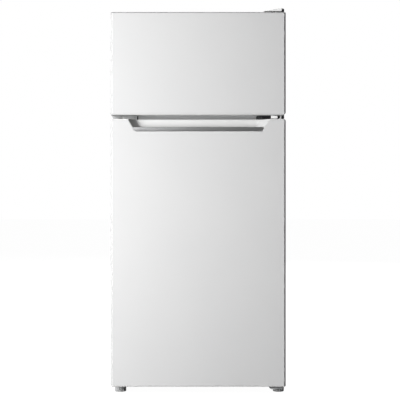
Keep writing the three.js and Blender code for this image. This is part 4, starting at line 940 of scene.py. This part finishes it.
CX, CY = 110.0, 200.0
can = turned([(0, 42), (30, 42), (42, 43.6), (49.5, 47.6), (54.2, 54), (56.2, 61), (56.5, 66), (56.5, 107.4), (57.6, 108.4), (58.5, 110), (58.5, 114.6), (57.8, 116),
              (56.0, 117), (55.4, 120), (54.9, 138), (53.4, 150), (50, 160), (44.6, 168.4), (36, 175.4), (25, 180.2), (12, 182.6), (0, 183)],
             96, "Z", (CX, CY, 0), (1.25, 1.0))
feet = prism("Z", rect(CX - 95, CX + 95, CY - 48, CY + 48), 12, 34.3, 37.3, 0.5, 0.5, n=8, m=2)
cut(feet, prism("Z", rect(CX - 60, CX + 60, CY - 60, CY - 36), 10, 30, 40, n=8), prism("Z", rect(CX - 60, CX + 60, CY + 36, CY + 60), 10, 30, 40, n=8))
join(can, feet, prism("Z", rect(CX - 44, CX + 44, CY - 33, CY + 33), 8, 36.5, 48, n=6))
piece("compressor_can", can, "cabinet", PAINT, ["compressor"])
mounts = []
for x in (CX - 84, CX + 84):
    for y in (CY - 38, CY + 38):
        mounts.append(turned([(0, 26.3), (8.2, 26.3), (8.4, 27), (8.4, 29), (7.2, 30.2), (8.2, 31.4), (8.2, 34.0), (0, 34.0)], 32, "Z", (x, y, 0)))
piece("compressor_grommets", heap(*mounts), "cabinet", ROLLER)
piece("compressor_bolts", heap(*[hex_screw(x, y, 37.4, 6.2, 1.0, 4.0, 2.5, 3.0) for x in (CX - 84, CX + 84) for y in (CY - 38, CY + 38)]),
      "cabinet", ZINC)
box = prism("X", [(176, 78), (224, 78), (224, 134), (176, 134)], 6, 6.6, 36.6, 2.0, 0.6, n=6, m=4)
for z in (90, 98, 106, 114, 122):
    cut(box, rbox(2, 7.6, 184, 216, z - 1.4, z + 1.4, 0.7, 3))
join(box, rbox(18, 26, 222, 227, 96, 116, 1.2, 3))
piece("terminal_box", box, "cabinet", BLACK, ["terminal_cover"])
drier = turned([(0, 85), (2.1, 85), (2.4, 85.5), (2.4, 93.6), (3.2, 95), (6.2, 98.6), (7.7, 101.6), (8, 103), (8, 104.8), (7.5, 105.4), (7.5, 106.2), (8, 106.8),
                (8, 146), (7.5, 146.6), (7.5, 147.4), (8, 148), (8, 151), (7.6, 152.6), (6.2, 155.4), (3.4, 159.2), (2.7, 160.6), (2.7, 169.4), (2.4, 169.7), (0, 169.7)],
               40, "Z", (-200, 248, 0))
piece("drier_bulb", drier, "cabinet", COPPER, ["filter_drier"])
piece("discharge_pipe", tube(smooth_line([(183.4, 200, 90), (212, 200, 90), (212, 260.0, 90), (212, 260.0, 204.7)], 13, 8), 2.5, 20), "cabinet", COPPER,
      ["discharge_tube"])
piece("suction_pipe", tube(smooth_line([(38.0, 200, 62), (-20, 200, 62), (-20, 240, 62), (-20, 240, 213.7)], 13, 8), 3.5, 20), "cabinet", COPPER,
      ["suction_tube"])
corners = [(212, 260.1, 205), (212, 260.1, 1030)]
side = 1
first = True
z = 1030
while z > 280:
    right = 212 if (first or side < 0) else 180
    if not first:
        corners.append((180 if side > 0 else -200, 260.1, z))
    corners.append((-200 if side > 0 else 180, 260.1, z))
    side = -side
    first = False
    z -= 100
corners += [(-200, 260.1, 214), (-200, 248, 200), (-200, 248, 170.2)]
piece("condenser_coil", tube(smooth_line(corners, 22, 6), 2.4, 12), "cabinet", COPPER, ["condenser_tube"])
pan = tub(30, 190, 150, 250, 183.3, 203.3, 10, wall=2.0, foot=3.0, closing=2.5, rim=0.8, rim_tall=3.0)
piece("drip_pan", pan, "cabinet", GREY, ["drip_tray"])
inlet = prism("Z", rect(-150, -110, 195, 235), 4, 26.3, 62.3, 0.6, 2.0, n=6, m=4)
join(inlet, turned([(0, 234), (9, 234), (9, 239), (8.2, 240), (9, 241), (8.2, 242), (9, 243), (8.2, 244), (9, 245), (8.2, 246), (9, 247), (8.4, 248), (8.4, 262), (7.6, 264.4),
                    (0, 264.5)], 40, "Y", (-130, 0, 50.3)))
cut(inlet, turned([(0, 240), (4.2, 240), (4.2, 263), (5.2, 264.4), (5.6, 266), (0, 266)], 32, "Y", (-130, 0, 50.3)))
piece("power_inlet_gland", inlet, "cabinet", BLACK, ["power_inlet"])

# ------------------------------------------------------------------ inside the compartments
bars = [tube([Vector((x, y, 932.0)) for x, y in fillet(rect(-197, 197, -138, 194), 12, 8)], 2.0, 14, around=True)]
for k in range(27):
    x = -187 + 374 * k / 26
    bars.append(tube([(x, -138, 932.4), (x, 194, 932.4)], 1.25, 10))
for y in (-40, 100):
    bars.append(tube([(-197, y, 931.4), (197, y, 931.4)], 1.4, 12))
bars.append(tube([(-197, -132, 931.8), (197, -132, 931.8)], 1.5, 12))
piece("wire_shelf", heap(*bars), "cabinet", WIRE, ["freezer_shelf"], weighted=False)


def glass_plate(name, node, z, front):
    plate = prism("Z", rect(-200.6, 200.6, front + 2.5, 209.8), 4, z + 0.1, z + 4.0, 0.5, 0.5, n=6, m=3)
    piece(name, plate, "cabinet", GLASS, [node])
    trim = prism("X", [(front, z), (front + 9, z), (front + 9, z + 9), (front, z + 9)], [2.0, 0.8, 2.4, 3.6], -201, 201, 1.0, 1.0, n=5, m=3)
    join(trim, prism("X", [(front, z - 3), (front + 9, z - 3), (front + 9, z + 2), (front, z + 2)], [2.0, 1.2, 0, 0], -194.6, 194.6, 1.0, 1.0, n=5, m=3))
    cut(trim, prism("X", [(front + 2.2, z + 0.0), (front + 12, z + 0.0), (front + 12, z + 4.1), (front + 2.2, z + 4.1)], 0, -210, 210))
    piece(name + "_trim", trim, "cabinet", WHITE, [node])
    back = prism("X", [(200.0, z + 4.1), (209.9, z + 4.1), (209.9, z + 9), (200.0, z + 6.2)], [0.4, 0.4, 1.2, 1.2], -200.6, 200.6, 0.6, 0.6, n=4, m=2)
    piece(name + "_back_rail", back, "cabinet", WHITE, [node])


glass_plate("glass_shelf_low", "glass_shelf_lower", 420.0, -115.0)
glass_plate("glass_shelf_high", "glass_shelf_upper", 580.0, -115.0)
glass_plate("crisper_top", "crisper_cover", 252.3, -116.0)

drawer = tub(-190, 190, -82, 88, 67, 235, [9, 9, 14, 14], wall=2.4, foot=9.0, closing=5.0, rim=1.4, rim_tall=6.0)
join(drawer, rbox(-60, 60, -92, -80.5, 227.4, 232.8, 2.4, 5))
for z in (100, 108, 116):
    t = 5.0 * (1 - (z - 67) / 168)
    join(drawer, rbox(-150, 150, -82 + t - 0.15, -80 + t, z - 1.2, z + 1.2, 0.9, 3))
for x in (-120, -60, 0, 60, 120):
    join(drawer, rbox(x - 1.2, x + 1.2, -62, 66, 68.9, 71.4, 1.0, 3))
piece("crisper_tub", drawer, "crisper", CLEAR, ["crisper_drawer"])

# --- thermostat, lamp and door switch
house = prism("X", [(-198, 714), (-60, 714), (-60, 743.7), (-198, 743.7)], [7, 7, 0, 0], -95, 95, 4.0, 4.0, n=8, m=5)
cut(house, prism("X", [(-195.5, 716.5), (-62.5, 716.5), (-62.5, 760), (-195.5, 760)], [5, 5, 0, 0], -92.5, 92.5, 1.5, 1.5, n=6, m=3))
join(house, rbox(-6, 2, -156, -124, 715, 741.7, 0.8, 3))
cut(house, prism("Z", rect(2.1, 82, -184, -96), 3, 700, 738, n=5), rod("Y", 60, 728, -205, -186, 4.0, 0.05, 24),
    rod("Z", -45, -150, 700, 726, 4.0, 0.05, 24))
join(house, turned([(18.4, 713.2), (20.6, 713.2), (21.2, 713.8), (21.2, 715.0), (18.0, 715.0), (18.4, 713.2)], 56, "Z", (-45, -150, 0)))
for k in range(7):
    cut(house, rbox(-82 + k * 5, -79.4 + k * 5, -92, -70, 708, 720, 1.1, 3))
for k in range(9):
    a = math.radians(120 - 300 * k / 8 + 150)
    cx, cy, r = -45 + 24.5 * math.cos(a), -150 + 24.5 * math.sin(a), 0.55 + 0.12 * k
    join(house, turned([(0, 713.5), (r * 0.8, 713.55), (r, 713.8), (r, 714.6), (0, 714.6)], 16, "Z", (cx, cy, 0)))
piece("thermostat_box", house, "cabinet", WHITE, ["thermostat_housing"])


def grip(r, a, t):
    return -0.5 * (1 - abs(math.cos(14 * t)) ** 1.2) if r > 15.5 and -11 < a < -1.2 else 0.0


dial = turned([(0, -12.0), (13.6, -12.0), (15.2, -11.6), (16.6, -10.2), (17, -8.6), (17, -1.4), (16.6, -0.4), (15.8, 0), (3.6, 0), (3.6, 12), (0, 12)], 168, "Z",
              (0, 0, 0), wave=grip)
join(dial, prism("Y", rect(-2.5, 2.5, -17, -11), [2, 2, 0, 0], -15, 15, 1.6, 1.6, n=6, m=4))
cut(dial, rbox(-0.7, 0.7, 6, 14, -17.6, -16.5, 0.3, 2))
piece("thermostat_dial", moved(dial, -45, -150, 713.5), "knob", WHITE, ["thermostat_knob"], angle=45)

rings = []
for k in range(85):
    x = -1 + k + 0.5 * 0
    i = 0.0 if k % 4 < 2 else 0.5
    if k == 0:
        i = 2.0
    if k == 84:
        i = 2.0
    rings.append([(x + (0 if k < 84 else 1), y, z) for y, z in fillet([(-187, 704.9), (-93, 704.9), (-93, 713.7), (-187, 713.7)], [7, 7, 0.6, 0.6], 6, i)])
shade = loft(rings)
cut(shade, prism("X", [(-185, 706.8), (-95, 706.8), (-95, 720), (-185, 720)], [5, 5, 0, 0], 1, 83, 1.0, 1.0, n=6, m=3))
piece("lamp_shade", shade, "cabinet", LENS, ["lamp_cover"], angle=50)
bulb = turned([(0, 0), (5.4, 0), (5.8, 0.4), (5.8, 2), (6.3, 2.6), (5.8, 3.2), (6.3, 4.6), (5.8, 5.2), (6.3, 6.6), (5.8, 7.2), (6.3, 8.6), (5.8, 9.2), (6.4, 11), (6.4, 13.4),
               (7.4, 15.4), (8.6, 17.6), (9, 20), (9, 44), (8.6, 47.6), (7.2, 51.4), (4.8, 54), (2, 54.9), (0, 55)], 40, "X", (2.4, -140, 727))
piece("lamp_bulb_glass", bulb, "cabinet", LENS, ["lamp_bulb"])
push = turned([(0, -216.6), (2.2, -216.5), (3.1, -215.8), (3.4, -214.6), (3.4, -188.6), (3.7, -188.6), (3.7, -187.3), (3.4, -187), (0, -187)], 32, "Y", (60, 0, 728))
piece("lamp_switch_button", push, "lamp_switch", WHITE, ["lamp_switch_plunger"])

# --- plugs over the hinge holes of the side without hinges
plugs = [turned([(0, 1081.2), (4.2, 1081.2), (4.2, 1081.7), (6.4, 1081.7), (6.2, 1082.4), (5.0, 1083.0), (0, 1083.2)], 32, "Z", (-227, y, 0)) for y in (-178, -150, -125)]
piece("top_hole_plugs", heap(*plugs), "cabinet", WHITE)
plugs = [turned([(0, -207.3), (4.6, -207.3), (4.4, -207.9), (3.4, -208.4), (0, -208.6)][::-1], 32, "Y", (x, 0, 786)) for x in (-212, -186)]
piece("mullion_hole_plugs", heap(*plugs), "cabinet", WHITE)

# ------------------------------------------------------------------ CAD nodes that stay
for node, mat in (("cabinet_foam", FOAM), ("freezer_door_foam", FOAM), ("fridge_door_foam", FOAM), ("freezer_evaporator", PLATE), ("fridge_evaporator", PLATE)):
    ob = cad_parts[node]
    ob.data.materials.clear()
    ob.data.materials.append(mat)

# ------------------------------------------------------------------ studio
floor_mat = bpy.data.materials.new("floor")
floor_mat.use_nodes = True
t = floor_mat.node_tree
t.nodes.clear()
out = t.nodes.new("ShaderNodeOutputMaterial")
mix = t.nodes.new("ShaderNodeMixShader")
both = t.nodes.new("ShaderNodeAddShader")
path = t.nodes.new("ShaderNodeLightPath")
lit = t.nodes.new("ShaderNodeBsdfDiffuse")
lit.inputs["Color"].default_value = (0.10, 0.10, 0.10, 1)
glow = t.nodes.new("ShaderNodeEmission")
glow.inputs["Color"].default_value = (1, 1, 1, 1)
glow.inputs["Strength"].default_value = 0.98
calm = t.nodes.new("ShaderNodeBsdfDiffuse")
calm.inputs["Color"].default_value = (0.20, 0.20, 0.20, 1)
t.links.new(lit.outputs[0], both.inputs[0])
t.links.new(glow.outputs[0], both.inputs[1])
t.links.new(path.outputs["Is Camera Ray"], mix.inputs[0])
t.links.new(calm.outputs[0], mix.inputs[1])
t.links.new(both.outputs[0], mix.inputs[2])
t.links.new(mix.outputs[0], out.inputs[0])
bm = bmesh.new()
bmesh.ops.create_grid(bm, x_segments=1, y_segments=1, size=30.0)
me = bpy.data.meshes.new("floor")
bm.to_mesh(me)
bm.free()
floor = bpy.data.objects.new("floor", me)
SCENE.collection.objects.link(floor)
me.materials.append(floor_mat)
floor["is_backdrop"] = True

world = bpy.data.worlds.new("studio")
SCENE.world = world
world.use_nodes = True
t = world.node_tree
t.nodes.clear()
out = t.nodes.new("ShaderNodeOutputWorld")
mix = t.nodes.new("ShaderNodeMixShader")
path = t.nodes.new("ShaderNodeLightPath")
dim = t.nodes.new("ShaderNodeBackground")
dim.inputs["Color"].default_value = (1, 1, 1, 1)
dim.inputs["Strength"].default_value = 0.07
seen = t.nodes.new("ShaderNodeBackground")
seen.inputs["Color"].default_value = (1, 1, 1, 1)
seen.inputs["Strength"].default_value = 1.0
t.links.new(path.outputs["Is Camera Ray"], mix.inputs[0])
t.links.new(dim.outputs[0], mix.inputs[1])
t.links.new(seen.outputs[0], mix.inputs[2])
t.links.new(mix.outputs[0], out.inputs[0])


def softbox(name, place, target, wide, tall, watts, spread=180.0):
    light = bpy.data.lights.new(name, "AREA")
    light.shape = "RECTANGLE"
    light.size, light.size_y = wide, tall
    light.energy = watts
    light.spread = math.radians(spread)
    ob = bpy.data.objects.new(name, light)
    SCENE.collection.objects.link(ob)
    ob.location = place
    ob.visible_camera = False
    ob.rotation_mode = "QUATERNION"
    ob.rotation_quaternion = (Vector(target) - Vector(place)).to_track_quat("-Z", "Y")
    return ob


key = softbox("key", (-1.5, -1.8, 0.62), (-0.08, -0.26, 0.46), 1.2, 1.8, 87.2)
key.visible_glossy = False
mirror = softbox("strip_light", (-1.25, -3.5, 0.95), (-0.15, -0.26, 0.75), 0.9, 1.2, 30.0)
mirror.visible_diffuse = False
side = softbox("rear_right", (3.2, 5.0, 2.4), (0.2, 0.0, 0.6), 2.2, 2.2, 420.0)
side.visible_glossy = False
softbox("rear_left", (-1.2, 5.0, 2.8), (0.0, 0.25, 0.6), 2.0, 2.0, 50.0)
softbox("top_light", (0.2, 1.3, 3.6), (0.0, 0.1, 1.1), 1.8, 1.8, 50.0)

camera_data = bpy.data.cameras.new("camera")
camera = bpy.data.objects.new("camera", camera_data)
SCENE.collection.objects.link(camera)
SCENE.camera = camera
camera_data.sensor_width = 36.0
camera_data.lens = 105.2
camera_data.clip_start, camera_data.clip_end = 0.05, 60.0
camera.location = (0.0048, -3.565, 0.5515)
camera.rotation_euler = (PI / 2, 0, 0)

SCENE.view_settings.view_transform = "Standard"
SCENE.view_settings.look = "None"

low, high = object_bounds()
